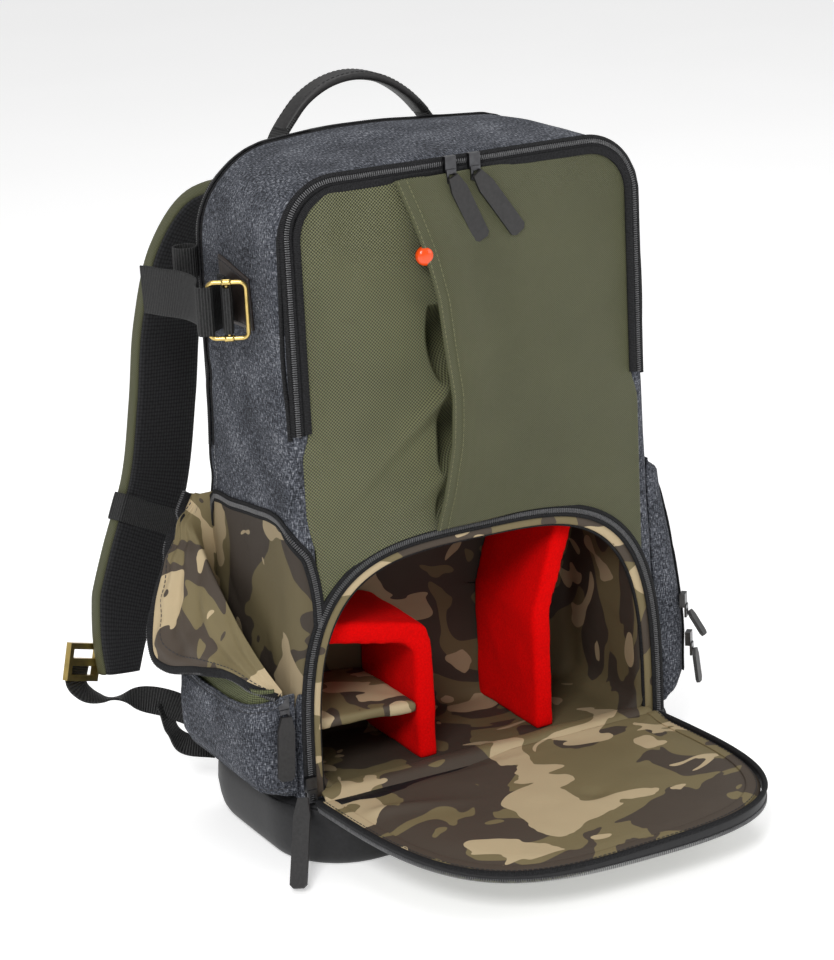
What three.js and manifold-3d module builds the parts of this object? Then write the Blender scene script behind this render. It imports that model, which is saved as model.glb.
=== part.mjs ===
// Camera backpack, standing open. The upper compartment is zipped shut behind a two-layer front panel.
// The lower camera compartment has its arched door folded down, and its padded dividers are in place.
// The left pocket is unzipped and its flap hangs out. The right pocket is closed.
// Millimetres. X runs across the bag, -Y is its front, +Y its harness side, +Z up.
// The origin is on the base's flat underside, below the middle of the body.
import * as THREE from "three";
import { mergeVertices } from "three/addons/utils/BufferGeometryUtils.js";
import Module from "manifold-3d";

const wasm = await Module();
wasm.setup();

// Body
const BODY_TOP = 467;
const BODY_DEPTH = 136;
const HALF_TOP = 138;
const HALF_LOW = 146;
const TAPER_HEIGHT = 300;
const BACK_RISE = 3;
const CROWN = 3;
const CORNER_FRONT = 44;
const CORNER_BACK = 64;
const EDGE_ROUND = 9;
const FLOOR_ROUND = 22;
const WALL = 4;
const GAP = 0.3;
const CLOTH = 2.5;
const MESH = 1;

// Base boot
const BOOT_WALL = 4;
const BOOT_HEIGHT = 46;
const BOOT_SIDE = 11;
const BOOT_TOE = 26;
const BOOT_ROUND = 9;
const BOOT_CORNER = 58;

// Camera compartment and its door
const SILL = 47;
const DOOR_HALF = 135;
const DOOR_LENGTH = 165;
const DOOR_POWER = 3.5;
const DOOR_PAD = 11;
const DOOR_DROOP = 3.5;
const DOOR_SKEW = 0.15;
const DOOR_TWIST = 4;
const RIM_WIDTH = 3;
const RIM_DEPTH = 15;
const RIM_DROP = 3;
const ZIP_BAND = 7;
const ZIP_RISE = 2;
const LINER_DEPTH = 100;
const LINER_WALL = 6;
const DIVIDER = 14;
const SHELF = 8;

// Front panel
const PANEL_HALF = 121;
const PANEL_TOP = 459;
const PANEL_CORNER = 30;
const PANEL_BULGE = 7;
const POCKET_LIFT = 4;
const FRONT_ZIP_LOW = 298;

// Side pockets
const POUCH_FRONT = -60;
const POUCH_BACK = 62;
const POUCH_OUT = 27;
const POUCH_LOW = 49;
const POUCH_MOUTH = 118;
const POUCH_TOP = 230;
const POCKET_FORE = 40;
const POCKET_REAR = 14;
const POUCH_ROUND = 14;
const FLAP_PAD = 4;
const FLAP_BELLY = 4;

// Harness
const BACK_PAD = 22;
const BACK_PAD_HALF = 126;
const STRAP_WIDTH = 60;
const STRAP_PAD = 13;
const STRAP_TURN = 20;
const WEBBING_WIDTH = 20;
const WEBBING = 2;
const HANDLE_SPAN = 118;
const HANDLE_RISE = 42;
const HANDLE_WIDTH = 20;
const HANDLE_PAD = 6;

// Trim
const BUCKLE_WIRE = 3;
const BUCKLE_WIDE = 28;
const BUCKLE_TALL = 40;
const PULL_WIDTH = 12;
const PULL_LEATHER = 2.4;
const BUTTON_RADIUS = 6.5;
const BUTTON_HEIGHT = 408;
const BUCKLE_HEIGHT = 380;
const BUCKLE_SKEW = 58;
const BUCKLE_STAND = 17.5;
const BUCKLE_PLACE = -25;
const PATCH = 2;
const SIDE_WEBBING = 33;
const SIDE_WEB = 1.6;
const SIDE_TAIL = 101;
const SLIDER = 4;
const SLIDER_WIDE = 8;
const SLIDER_TALL = 10;
const WEBBING_ANCHOR = 58;
const HANDLE_SINK = 8;
const HANDLE_SHIFT = -5;

// Places that follow from the sizes above
const FRONT = -BODY_DEPTH / 2;
const BACK = BODY_DEPTH / 2;
const BOTTOM = BOOT_WALL + GAP;
const PAD_FRONT = BACK + GAP;
const PAD_BACK = PAD_FRONT + BACK_PAD;
const LINER_FRONT = FRONT + WALL + GAP;

const lerp = THREE.MathUtils.lerp;
const clamp = THREE.MathUtils.clamp;
const at = (x, y, z) => new THREE.Vector3(x, y, z);
const span = (count, from = 0, to = 1) =>
  Array.from({ length: count + 1 }, (_, i) => lerp(from, to, i / count));

// Solids from rings of points

function capFaces(ring) {
  const normal = at(0, 0, 0);
  ring.forEach((p, i) => normal.add(p.clone().cross(ring[(i + 1) % ring.length])));
  const size = [Math.abs(normal.x), Math.abs(normal.y), Math.abs(normal.z)];
  const drop = size.indexOf(Math.max(...size));
  const [u, v] = [["y", "z"], ["x", "z"], ["x", "y"]][drop];
  const flat = ring.map((p) => new THREE.Vector2(p[u], p[v]));
  const turn = Math.sign(THREE.ShapeUtils.area(flat));
  return THREE.ShapeUtils.triangulateShape(flat, []).map(([a, b, c]) =>
    Math.sign(THREE.ShapeUtils.area([flat[a], flat[b], flat[c]])) === turn ? [a, b, c] : [a, c, b],
  );
}

// The closed surface through rings that all have the same number of points.
function loftGeometry(rings) {
  const count = rings[0].length;
  const points = rings.flat();
  let faces = [];
  rings.slice(1).forEach((_, row) => {
    for (let i = 0; i < count; i++) {
      const a = row * count + i;
      const b = row * count + ((i + 1) % count);
      faces.push([a, b, a + count], [b, b + count, a + count]);
    }
  });
  const last = points.length - count;
  capFaces(rings[0]).forEach(([a, b, c]) => faces.push([a, c, b]));
  capFaces(rings.at(-1)).forEach((face) => faces.push(face.map((i) => i + last)));
  const volume = faces.reduce(
    (sum, [a, b, c]) => sum + points[a].dot(points[b].clone().cross(points[c])),
    0,
  );
  if (volume < 0) faces = faces.map(([a, b, c]) => [a, c, b]);
  const geometry = new THREE.BufferGeometry().setFromPoints(points);
  geometry.setIndex(faces.flat());
  return geometry;
}

function solidOf(geometry) {
  const bare = geometry.clone();
  bare.deleteAttribute("normal");
  bare.deleteAttribute("uv");
  const merged = mergeVertices(bare, 1e-3);
  return new wasm.Manifold(
    new wasm.Mesh({
      numProp: 3,
      vertProperties: new Float32Array(merged.attributes.position.array),
      triVerts: new Uint32Array(merged.index.array),
    }),
  );
}

function geometryOf(solid) {
  const mesh = solid.getMesh();
  const geometry = new THREE.BufferGeometry();
  geometry.setAttribute("position", new THREE.BufferAttribute(mesh.vertProperties, 3));
  geometry.setIndex(new THREE.BufferAttribute(mesh.triVerts, 1));
  return geometry;
}

const loft = (rings) => solidOf(loftGeometry(rings));

function block(low, high) {
  const size = high.clone().sub(low);
  const box = new THREE.BoxGeometry(size.x, size.y, size.z);
  box.translate(...low.clone().add(high).multiplyScalar(0.5).toArray());
  return solidOf(box);
}

// A prism along Y of an outline in X and Z.
function prismY(outline, front, back) {
  const shape = new THREE.Shape(outline);
  const prism = new THREE.ExtrudeGeometry(shape, { depth: back - front, bevelEnabled: false });
  prism.rotateX(Math.PI / 2);
  prism.translate(0, back, 0);
  return solidOf(prism);
}

// A prism along X of an outline in Y and Z.
function prismX(outline, low, high) {
  const shape = new THREE.Shape(outline);
  const prism = new THREE.ExtrudeGeometry(shape, { depth: high - low, bevelEnabled: false });
  prism.applyMatrix4(new THREE.Matrix4().makeBasis(at(0, 1, 0), at(0, 0, 1), at(1, 0, 0)));
  prism.translate(low, 0, 0);
  return solidOf(prism);
}

// A sheet whose face is given by rows of points, thickened along a direction at each point.
function sheet(rows, thickness, away) {
  return loft(
    rows.map((row) => [
      ...row,
      ...row.map((p) => p.clone().addScaledVector(away(p), thickness)).reverse(),
    ]),
  );
}

// A band along a path. Each section lies across it, as wide as width says, with rounded edges.
function band(path, across, width, thickness, sides = 4) {
  const rings = path.map((p, i) => {
    const along = path[Math.min(i + 1, path.length - 1)].clone().sub(path[Math.max(i - 1, 0)]).normalize();
    const share = i / (path.length - 1);
    const wide = across(share).clone();
    wide.addScaledVector(along, -wide.dot(along)).normalize();
    const thick = along.clone().cross(wide);
    const half = (typeof width === "function" ? width(share) : width) / 2;
    if (sides === 4) {
      return [[1, 1], [-1, 1], [-1, -1], [1, -1]].map(([u, v]) =>
        p.clone().addScaledVector(wide, u * half).addScaledVector(thick, (v * thickness) / 2),
      );
    }
    const depth = thickness / 2;
    return span(sides, 0, 2 * Math.PI).slice(0, -1).map((turn) => {
      const u = Math.cos(turn + Math.PI / sides);
      const v = Math.sin(turn + Math.PI / sides);
      const round = (value) => Math.sign(value) * Math.abs(value) ** 0.55;
      return p.clone().addScaledVector(wide, round(u) * half).addScaledVector(thick, round(v) * depth);
    });
  });
  return loft(rings);
}

const smooth = (points, steps) =>
  new THREE.CatmullRomCurve3(points, false, "centripetal").getSpacedPoints(steps);

// Body form

// Half the body's width at a height: it widens towards the base.
function halfAt(z) {
  const share = THREE.MathUtils.smoothstep(z, SILL, TAPER_HEIGHT);
  return lerp(HALF_LOW, HALF_TOP, share);
}

// Sections from front to back. place is a share of half the depth, inset a share of EDGE_ROUND.
const BODY_SECTIONS = [
  { place: -1, inset: 1 },
  { place: -0.94, inset: 0.4 },
  { place: -0.82, inset: 0 },
  { place: -0.3, inset: -0.2 },
  { place: 0.3, inset: -0.2 },
  { place: 0.82, inset: 0 },
  { place: 0.94, inset: 0.4 },
  { place: 1, inset: 1 },
];
const SIDE_STEPS = 6;
const ARC_STEPS = 6;

function bodyRing({ place, inset }, grow) {
  const end = Math.abs(place) > 0.9;
  const y = (place * BODY_DEPTH) / 2 + (end ? Math.sign(place) * grow : 0);
  const back = (place + 1) / 2;
  const radius = lerp(CORNER_FRONT, CORNER_BACK, back);
  const top = BODY_TOP + BACK_RISE * back;
  const inward = inset * EDGE_ROUND - grow;
  const floor = Math.max(inset, 0) * EDGE_ROUND - grow;
  const half = [];
  const low = halfAt(BOTTOM) - FLOOR_ROUND;
  span(ARC_STEPS, -Math.PI / 2, 0).forEach((turn) =>
    half.push([
      low + (FLOOR_ROUND - inward) * Math.cos(turn),
      BOTTOM + FLOOR_ROUND + (FLOOR_ROUND - floor) * Math.sin(turn),
    ]),
  );
  const heights = span(SIDE_STEPS, BOTTOM + FLOOR_ROUND, top - radius).slice(1);
  heights.forEach((z) => half.push([halfAt(z) - inward, z]));
  span(ARC_STEPS, 0, Math.PI / 2).slice(1).forEach((turn) =>
    half.push([
      HALF_TOP - radius + (radius - inward) * Math.cos(turn),
      top - radius + (radius - inward) * Math.sin(turn),
    ]),
  );
  const flat = HALF_TOP - radius;
  const shares = span(2, 1, 0).slice(1);
  shares.forEach((share) => half.push([flat * share, top - inward + CROWN * (1 - share ** 2)]));
  const mirrored = half.slice(0, -1).reverse().map(([x, z]) => [-x, z]);
  return [...half, ...mirrored].map(([x, z]) => at(x, y, z));
}

const bodyForm = (grow) => loft(BODY_SECTIONS.map((section) => bodyRing(section, grow)));

// A layer that hugs the body between two offsets, cut to a region.
const bodySkin = (low, high, region) => bodyForm(high).subtract(bodyForm(low)).intersect(region);

// Outlines

// The door and its opening: an arch over the sill, wider by grow all round.
function archOutline(grow, base = SILL, from = 0) {
  const half = DOOR_HALF + grow;
  const rise = DOOR_LENGTH + grow;
  const power = 2 / DOOR_POWER;
  const points = span(28, 0, Math.PI).map(
    (turn) =>
      new THREE.Vector2(
        half * Math.sign(Math.cos(turn)) * Math.abs(Math.cos(turn)) ** power,
        base + from + (rise - from) * Math.sin(turn) ** power,
      ),
  );
  return points;
}

function roundTopOutline(half, low, top, corner) {
  const points = [new THREE.Vector2(half, low)];
  span(6, 0, Math.PI / 2).forEach((turn) =>
    points.push(
      new THREE.Vector2(half - corner + corner * Math.cos(turn), top - corner + corner * Math.sin(turn)),
    ),
  );
  span(6, Math.PI / 2, Math.PI).forEach((turn) =>
    points.push(
      new THREE.Vector2(corner - half + corner * Math.cos(turn), top - corner + corner * Math.sin(turn)),
    ),
  );
  points.push(new THREE.Vector2(-half, low));
  return points;
}

const panelPrism = (grow, front, back) =>
  prismY(
    roundTopOutline(PANEL_HALF + grow, SILL + DOOR_LENGTH / 2, PANEL_TOP + grow, PANEL_CORNER),
    front,
    back,
  );
const archPrism = (grow, front, back) => prismY(archOutline(grow), front, back);

// How far the front panel stands out at a place.
function panelBulge(x, z) {
  const middle = (SILL + DOOR_LENGTH + PANEL_TOP) / 2;
  const reach = (PANEL_TOP - SILL - DOOR_LENGTH) / 2 + PANEL_CORNER;
  const across = clamp(1 - (x / PANEL_HALF) ** 2, 0, 1);
  const up = clamp(1 - ((z - middle) / reach) ** 2, 0, 1);
  return PANEL_BULGE * across * up;
}

// The free edge of the upper layer. height is a share from the sill's arch to the panel top,
// x a share of the half width.
const OVERLAP_EDGE = [
  { height: 0, x: -0.31 },
  { height: 0.12, x: -0.25 },
  { height: 0.26, x: -0.21 },
  { height: 0.4, x: -0.2 },
  { height: 0.53, x: -0.23 },
  { height: 0.67, x: -0.26 },
  { height: 0.8, x: -0.32 },
  { height: 0.9, x: -0.38 },
  { height: 1, x: -0.45 },
];

function overlapX(z) {
  const low = SILL + DOOR_LENGTH;
  const share = clamp((z - low) / (PANEL_TOP - low), 0, 1);
  const next = Math.max(1, OVERLAP_EDGE.findIndex((row) => row.height >= share));
  const a = OVERLAP_EDGE[next - 1];
  const b = OVERLAP_EDGE[next];
  return PANEL_HALF * lerp(a.x, b.x, (share - a.height) / (b.height - a.height));
}

// Body pieces

function makeBodyShell() {
  const front = FRONT - WALL;
  const back = FRONT + WALL + 1;
  const cut = panelPrism(GAP, front, back).add(archPrism(0, front, back));
  return bodyForm(0).subtract(bodyForm(-WALL)).subtract(cut);
}

// Levels of the padded base. height is a share of BOOT_HEIGHT, inset a share of BOOT_ROUND.
const BOOT_LEVELS = [
  { height: 0, inset: 1 },
  { height: 0.1, inset: 0.4 },
  { height: 0.3, inset: 0 },
  { height: 0.7, inset: 0 },
  { height: 1, inset: 0.35 },
];

function roundedPlan(half, front, back, corner, z) {
  const corners = [
    { x: half, y: front, start: -Math.PI / 2 },
    { x: half, y: back, start: 0 },
    { x: -half, y: back, start: Math.PI / 2 },
    { x: -half, y: front, start: Math.PI },
  ];
  return corners.flatMap(({ x, y, start }) =>
    span(5, start, start + Math.PI / 2).map((turn) =>
      at(
        x - Math.sign(x) * corner + corner * Math.cos(turn),
        (y === front ? y + corner : y - corner) + corner * Math.sin(turn),
        z,
      ),
    ),
  );
}

function bootForm(grow) {
  return loft(
    BOOT_LEVELS.map(({ height, inset }) => {
      const inward = inset * BOOT_ROUND - grow;
      const half = HALF_LOW + BOOT_SIDE - inward;
      const front = FRONT - BOOT_TOE + inward;
      const z = height * BOOT_HEIGHT + (height === 1 ? grow : 0);
      return roundedPlan(half, front, PAD_BACK - 2 - inward, BOOT_CORNER - inward, z);
    }),
  );
}

function makeBaseBoot() {
  const door = doorPrism(RIM_WIDTH + GAP, -BOOT_HEIGHT, RIM_DROP + RIM_DEPTH + GAP);
  return bootForm(0).subtract(bodyForm(GAP)).subtract(hangDoor(door));
}

// The panel's lower corners end where the arch's zip begins.
function panelSheet(leftEdge, rightEdge, face) {
  const low = SILL + DOOR_LENGTH / 2;
  const rows = span(12, low, PANEL_TOP + 1).map((z) =>
    span(8, leftEdge(z), rightEdge(z)).map((x) => at(x, face(x, z), z)),
  );
  const slab = sheet(rows, CLOTH, () => at(0, 1, 0));
  const front = FRONT - PANEL_BULGE - POCKET_LIFT - CLOTH;
  const kept = slab.intersect(panelPrism(0, front, FRONT + WALL));
  return kept.subtract(archPrism(ZIP_BAND + GAP, front, FRONT + WALL + 1));
}

const UNDERLAP = 24;

function makePanelUnder() {
  return panelSheet(
    () => -PANEL_HALF - 1,
    (z) => overlapX(z) + UNDERLAP,
    (x, z) => FRONT - 0.6 * panelBulge(x, z),
  );
}

// The upper layer stands clear of the lower one along its free edge, most at mid height.
function overFace(x, z) {
  const edge = overlapX(z) + UNDERLAP;
  const near = 1 - THREE.MathUtils.smoothstep(x, edge, edge + 2 * UNDERLAP);
  const soft = panelBulge(overlapX(z), z) / PANEL_BULGE;
  return FRONT - panelBulge(x, z) - (CLOTH + GAP + POCKET_LIFT * soft) * near;
}

const makePanelOver = () => panelSheet(overlapX, () => PANEL_HALF + 1, overFace);

// A zip's band on the body's face between two outlines.
function makeFrontZip() {
  const wide = HALF_TOP + ZIP_RISE;
  const outline = roundTopOutline(wide, FRONT_ZIP_LOW, BODY_TOP + ZIP_RISE, CORNER_FRONT);
  const outer = prismY(outline, FRONT - WALL, FRONT + 6);
  const inner = panelPrism(2 * GAP, FRONT - WALL - 1, FRONT + WALL + 6);
  return bodySkin(GAP, ZIP_RISE + GAP, outer.subtract(inner));
}

function makeDoorZip() {
  const front = FRONT - WALL;
  const ring = archPrism(ZIP_BAND, front, FRONT + WALL).subtract(archPrism(GAP, front - 1, FRONT + WALL + 1));
  return bodySkin(GAP, ZIP_RISE + GAP, ring);
}

function makeRearZip() {
  const low = at(-2 * HALF_LOW, BACK - ZIP_BAND - 3, (SILL + BODY_TOP) / 2);
  const high = at(2 * HALF_LOW, BACK - 2, 2 * BODY_TOP);
  return bodySkin(GAP, ZIP_RISE + GAP, block(low, high));
}

// The padded liner of the camera compartment, open at the front.
const LINER_HALF = DOOR_HALF - 4;
const LINER_TOP = SILL + DOOR_LENGTH + LINER_WALL + 2;
const INNER_HALF = LINER_HALF - LINER_WALL;
const INNER_LOW = SILL + 2;
const INNER_TOP = LINER_TOP - LINER_WALL;
const INNER_BACK = LINER_FRONT + LINER_DEPTH - LINER_WALL;

function makeLiner() {
  const outer = block(
    at(-LINER_HALF, LINER_FRONT, INNER_LOW - LINER_WALL),
    at(LINER_HALF, LINER_FRONT + LINER_DEPTH, LINER_TOP),
  );
  const inner = block(at(-INNER_HALF, LINER_FRONT - 1, INNER_LOW), at(INNER_HALF, INNER_BACK, INNER_TOP));
  return outer.subtract(inner).intersect(bodyForm(-WALL - GAP));
}

// Dividers: an outline in X and Z, set back a little from the liner's mouth.
const DIVIDER_FRONT = LINER_FRONT + 8;
const LEFT_DIVIDER_X = -0.27 * INNER_HALF;
const RIGHT_DIVIDER_X = 0.48 * INNER_HALF;
const LEFT_SHELF_Z = lerp(INNER_LOW, INNER_TOP, 0.7);
const LOW_SHELF_Z = lerp(INNER_LOW, INNER_TOP, 0.24);
const SHELF_SLOPE = 14;
const LEAN_START = lerp(INNER_LOW, INNER_TOP, 0.5);
const LEAN = 28;

function dividerPrism(points) {
  return prismY(points.map(([x, z]) => new THREE.Vector2(x, z)), DIVIDER_FRONT, INNER_BACK - GAP);
}

function makeLeftDivider() {
  const right = LEFT_DIVIDER_X;
  const left = right - DIVIDER;
  const wall = GAP - INNER_HALF;
  const fold = LEFT_SHELF_Z - SHELF_SLOPE;
  return dividerPrism([
    [left, INNER_LOW + GAP],
    [right, INNER_LOW + GAP],
    [right, fold - DIVIDER],
    [right - DIVIDER * 0.25, fold - DIVIDER * 0.3],
    [right - DIVIDER, fold],
    [wall, LEFT_SHELF_Z],
    [wall, LEFT_SHELF_Z - DIVIDER],
    [left - DIVIDER * 0.6, fold - DIVIDER],
    [left, fold - DIVIDER * 1.6],
  ]);
}

function makeRightDivider() {
  const left = RIGHT_DIVIDER_X - DIVIDER;
  const right = RIGHT_DIVIDER_X;
  return dividerPrism([
    [left, INNER_LOW + GAP],
    [right, INNER_LOW + GAP],
    [right, LEAN_START],
    [right + LEAN, INNER_TOP - GAP],
    [left + LEAN - 2, INNER_TOP - GAP],
    [left, LEAN_START + 4],
  ]);
}

function makeLowShelf() {
  const right = LEFT_DIVIDER_X - DIVIDER - GAP;
  return dividerPrism([
    [GAP - INNER_HALF, LOW_SHELF_Z + SHELF],
    [GAP - INNER_HALF, LOW_SHELF_Z],
    [right, LOW_SHELF_Z - SHELF / 2],
    [right, LOW_SHELF_Z + SHELF / 2],
  ]);
}

// The folded-down door, made flat and then hung from the sill.
const DOOR_HINGE = at(0, FRONT - BOOT_WALL - 2 * GAP, SILL);

function hangDoor(solid) {
  const geometry = geometryOf(solid);
  const place = geometry.attributes.position;
  for (let i = 0; i < place.count; i++) {
    const [x, reach, low] = [place.getX(i), place.getY(i), place.getZ(i)];
    place.setX(i, x + DOOR_SKEW * reach);
    place.setZ(i, low - (DOOR_TWIST * x * reach) / (DOOR_HALF * DOOR_LENGTH));
  }
  const droop = THREE.MathUtils.degToRad(DOOR_DROOP);
  const out = at(0, -Math.cos(droop), -Math.sin(droop));
  const down = at(1, 0, 0).cross(out);
  geometry.applyMatrix4(new THREE.Matrix4().makeBasis(at(1, 0, 0), out, down).setPosition(DOOR_HINGE));
  return solidOf(geometry);
}

function doorPrism(grow, top, bottom) {
  const shape = new THREE.Shape(archOutline(grow, 0));
  const prism = new THREE.ExtrudeGeometry(shape, { depth: bottom - top, bevelEnabled: false });
  prism.translate(0, 0, top);
  return solidOf(prism);
}

const makeDoorPad = () => hangDoor(doorPrism(0, 0, DOOR_PAD));

function makeDoorRim() {
  const outer = doorPrism(RIM_WIDTH, RIM_DROP, RIM_DROP + RIM_DEPTH);
  const inner = doorPrism(GAP, 0, RIM_DROP + RIM_DEPTH + 1);
  return hangDoor(outer.subtract(inner));
}

// Side pockets

// Levels of a pouch on the body's side. out is a share of POUCH_OUT,
// height a share from the bottom to the top.
const POUCH_LEVELS = [
  { height: 0, out: 0.3 },
  { height: 0.03, out: 0.72 },
  { height: 0.1, out: 0.97 },
  { height: 0.25, out: 1 },
  { height: 0.5, out: 0.82 },
  { height: 0.8, out: 0.6 },
  { height: 0.95, out: 0.5 },
  { height: 1, out: 0.25 },
];

function pouchRing(side, z, out, grow) {
  const near = halfAt(z) + (grow < -1 ? 0 : 3 * GAP);
  const far = near + out + grow;
  const front = POUCH_FRONT - grow;
  const back = POUCH_BACK + grow;
  const corner = Math.max(1, Math.min(POUCH_ROUND + grow, far - near - 0.5));
  const ring = [at(side * near, front, z)];
  span(4, -Math.PI / 2, 0).forEach((turn) =>
    ring.push(
      at(side * (far - corner + corner * Math.cos(turn)), front + corner + corner * Math.sin(turn), z),
    ),
  );
  span(4, 0, Math.PI / 2).forEach((turn) =>
    ring.push(
      at(side * (far - corner + corner * Math.cos(turn)), back - corner + corner * Math.sin(turn), z),
    ),
  );
  ring.push(at(side * near, back, z));
  return ring;
}

function pouchForm(side, grow) {
  return loft(
    POUCH_LEVELS.map(({ height, out }, i) => {
      const end = i === 0 ? -grow : i === POUCH_LEVELS.length - 1 ? grow : 0;
      return pouchRing(side, lerp(POUCH_LOW, POUCH_TOP, height) + end, POUCH_OUT * out, grow);
    }),
  );
}

const sideBlock = (side, low, high, front, back) =>
  block(
    at(side > 0 ? HALF_TOP / 2 : -2 * HALF_LOW, front, low),
    at(side > 0 ? 2 * HALF_LOW : -HALF_TOP / 2, back, high),
  );

// The pouch's wall, open towards the bag. The bulging body is cut clear of it.
function pouchWall(side) {
  return pouchForm(side, 0).subtract(pouchForm(side, -CLOTH)).subtract(bodyForm(2 * GAP));
}

const makeRightPocket = () => pouchWall(1);

function makeLeftPouch() {
  return pouchWall(-1).intersect(sideBlock(-1, 0, POUCH_MOUTH, -BODY_DEPTH, BODY_DEPTH));
}

// The slip pocket over the left pouch, with its scooped mouth lower at the front.
function makeSlipPocket() {
  const low = POUCH_LOW + 3;
  const mouth = POUCH_MOUTH - 14;
  const scoop = span(8).map(
    (share) =>
      new THREE.Vector2(
        lerp(POUCH_FRONT - 6, POUCH_BACK + 6, share),
        mouth - 12 * Math.sin(Math.PI * clamp(share * 1.1, 0, 1)),
      ),
  );
  const outline = [
    new THREE.Vector2(POUCH_BACK + 6, low),
    new THREE.Vector2(POUCH_FRONT - 6, low),
    ...scoop,
  ];
  const region = prismX(outline, -2 * HALF_LOW, -halfAt(POUCH_LOW) - POUCH_OUT * 0.3);
  const skin = pouchForm(-1, MESH + CLOTH + 2 * GAP).subtract(pouchForm(-1, MESH + 2 * GAP));
  return skin.intersect(region).subtract(bodyForm(2 * GAP));
}

// The mesh between the pouch and the slip pocket, which shows above the scooped mouth.
function makeMeshPocket() {
  const region = sideBlock(-1, POUCH_LOW + 8, POUCH_MOUTH - 3, POUCH_FRONT + 2, POUCH_BACK - 2);
  const skin = pouchForm(-1, MESH + GAP).subtract(pouchForm(-1, GAP));
  return skin.intersect(region).subtract(bodyForm(2 * GAP));
}

// The pocket's arch in Y and Z, rounder at its front than at its rear.
function pocketArch(grow, low) {
  const front = POUCH_FRONT - grow;
  const back = POUCH_BACK + grow;
  const top = POUCH_TOP + 4 + grow;
  const corner = (y, radius, from) =>
    span(6, from, from + Math.PI / 2).map(
      (turn) => new THREE.Vector2(y + radius * Math.cos(turn), top - radius + radius * Math.sin(turn)),
    );
  const rear = POCKET_REAR + grow;
  const fore = POCKET_FORE + grow;
  return [
    new THREE.Vector2(back, low),
    ...corner(back - rear, rear, 0),
    ...corner(front + fore, fore, Math.PI / 2),
    new THREE.Vector2(front, low),
  ];
}

function makePocketLining() {
  const region = prismX(pocketArch(0, POUCH_LOW + 12), -2 * HALF_LOW, -HALF_TOP / 2);
  const below = sideBlock(-1, 0, POUCH_MOUTH + GAP, -BODY_DEPTH, BODY_DEPTH);
  const wall = pouchForm(-1, GAP).subtract(pouchForm(-1, -CLOTH - GAP)).intersect(below);
  return bodySkin(GAP, 2 * GAP + 1, region).subtract(wall);
}

function makePocketZip() {
  const outer = prismX(pocketArch(ZIP_BAND, POUCH_MOUTH + 4), -2 * HALF_LOW, -HALF_TOP / 2);
  const inner = prismX(pocketArch(GAP, POUCH_LOW), -3 * HALF_LOW, 0);
  const side = sideBlock(-1, 0, BODY_TOP, -BODY_DEPTH, BACK);
  const strip = bodySkin(GAP, ZIP_RISE + GAP, outer.subtract(inner)).intersect(side);
  return strip.subtract(archPrism(ZIP_BAND + GAP, FRONT - 2 * WALL, FRONT + WALL));
}

// The hanging flap is a patch between the pouch's mouth and two free zipped edges, which meet at a corner.
// out is a share of POUCH_OUT from the body's side, back a share from front to back,
// up a share of mouth to top.
const FLAP_EDGE = [
  { out: 0.33, back: 1.03, up: 0.97 },
  { out: 1.03, back: 0.99, up: 0.71 },
  { out: 1.6, back: 0.93, up: 0.41 },
  { out: 2.01, back: 0.84, up: 0.17 },
  { out: 1.96, back: 0.78, up: 0.08 },
  { out: 1.6, back: 0.62, up: 0.08 },
  { out: 1.12, back: 0.43, up: 0.12 },
  { out: 0.8, back: 0.21, up: 0.13 },
  { out: 0.45, back: -0.01, up: 0.07 },
];
const MOUTH_EDGE = [
  { out: 0.5, back: 1, up: 0 },
  { out: 0.85, back: 0.95, up: 0 },
  { out: 0.93, back: 0.8, up: 0 },
  { out: 0.93, back: 0.6, up: 0 },
  { out: 0.93, back: 0.4, up: 0 },
  { out: 0.92, back: 0.2, up: 0 },
  { out: 0.82, back: 0.08, up: 0 },
  { out: 0.5, back: 0, up: 0 },
];

function flapPoint({ out, back, up }) {
  const z = lerp(POUCH_MOUTH, POUCH_TOP, up) + 2 * GAP;
  return at(-HALF_LOW - 3 * GAP - POUCH_OUT * out, lerp(POUCH_FRONT, POUCH_BACK, back), z);
}

function makePocketFlap() {
  const mouth = smooth(MOUTH_EDGE.map(flapPoint), 16);
  const free = smooth(FLAP_EDGE.map(flapPoint), 16);
  const outward = at(-0.75, 0.35, -0.45).normalize();
  const rows = span(8).map((v) =>
    mouth.map((low, i) => {
      const soft = Math.sin((Math.PI * i) / (mouth.length - 1)) * Math.sin(Math.PI * v);
      return low.clone().lerp(free[i], v).addScaledVector(outward, FLAP_BELLY * soft);
    }),
  );
  const flap = sheet(rows, FLAP_PAD, () => outward);
  const below = sideBlock(-1, 0, POUCH_MOUTH + GAP, -BODY_DEPTH, BODY_DEPTH);
  return flap.subtract(pouchForm(-1, 3 * CLOTH).intersect(below)).subtract(bodyForm(ZIP_RISE + 2 * GAP));
}

// Right pocket's zip band round its top and front edge
function makeRightZip() {
  const outer = prismX(pocketArch(-2, POUCH_MOUTH - 40), HALF_TOP / 2, 2 * HALF_LOW);
  const inner = prismX(pocketArch(-2 - ZIP_BAND, POUCH_LOW), 0, 3 * HALF_LOW);
  const skin = pouchForm(1, ZIP_RISE + GAP).subtract(pouchForm(1, GAP));
  return skin.intersect(outer.subtract(inner)).subtract(bodyForm(2 * GAP));
}

// Harness

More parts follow.
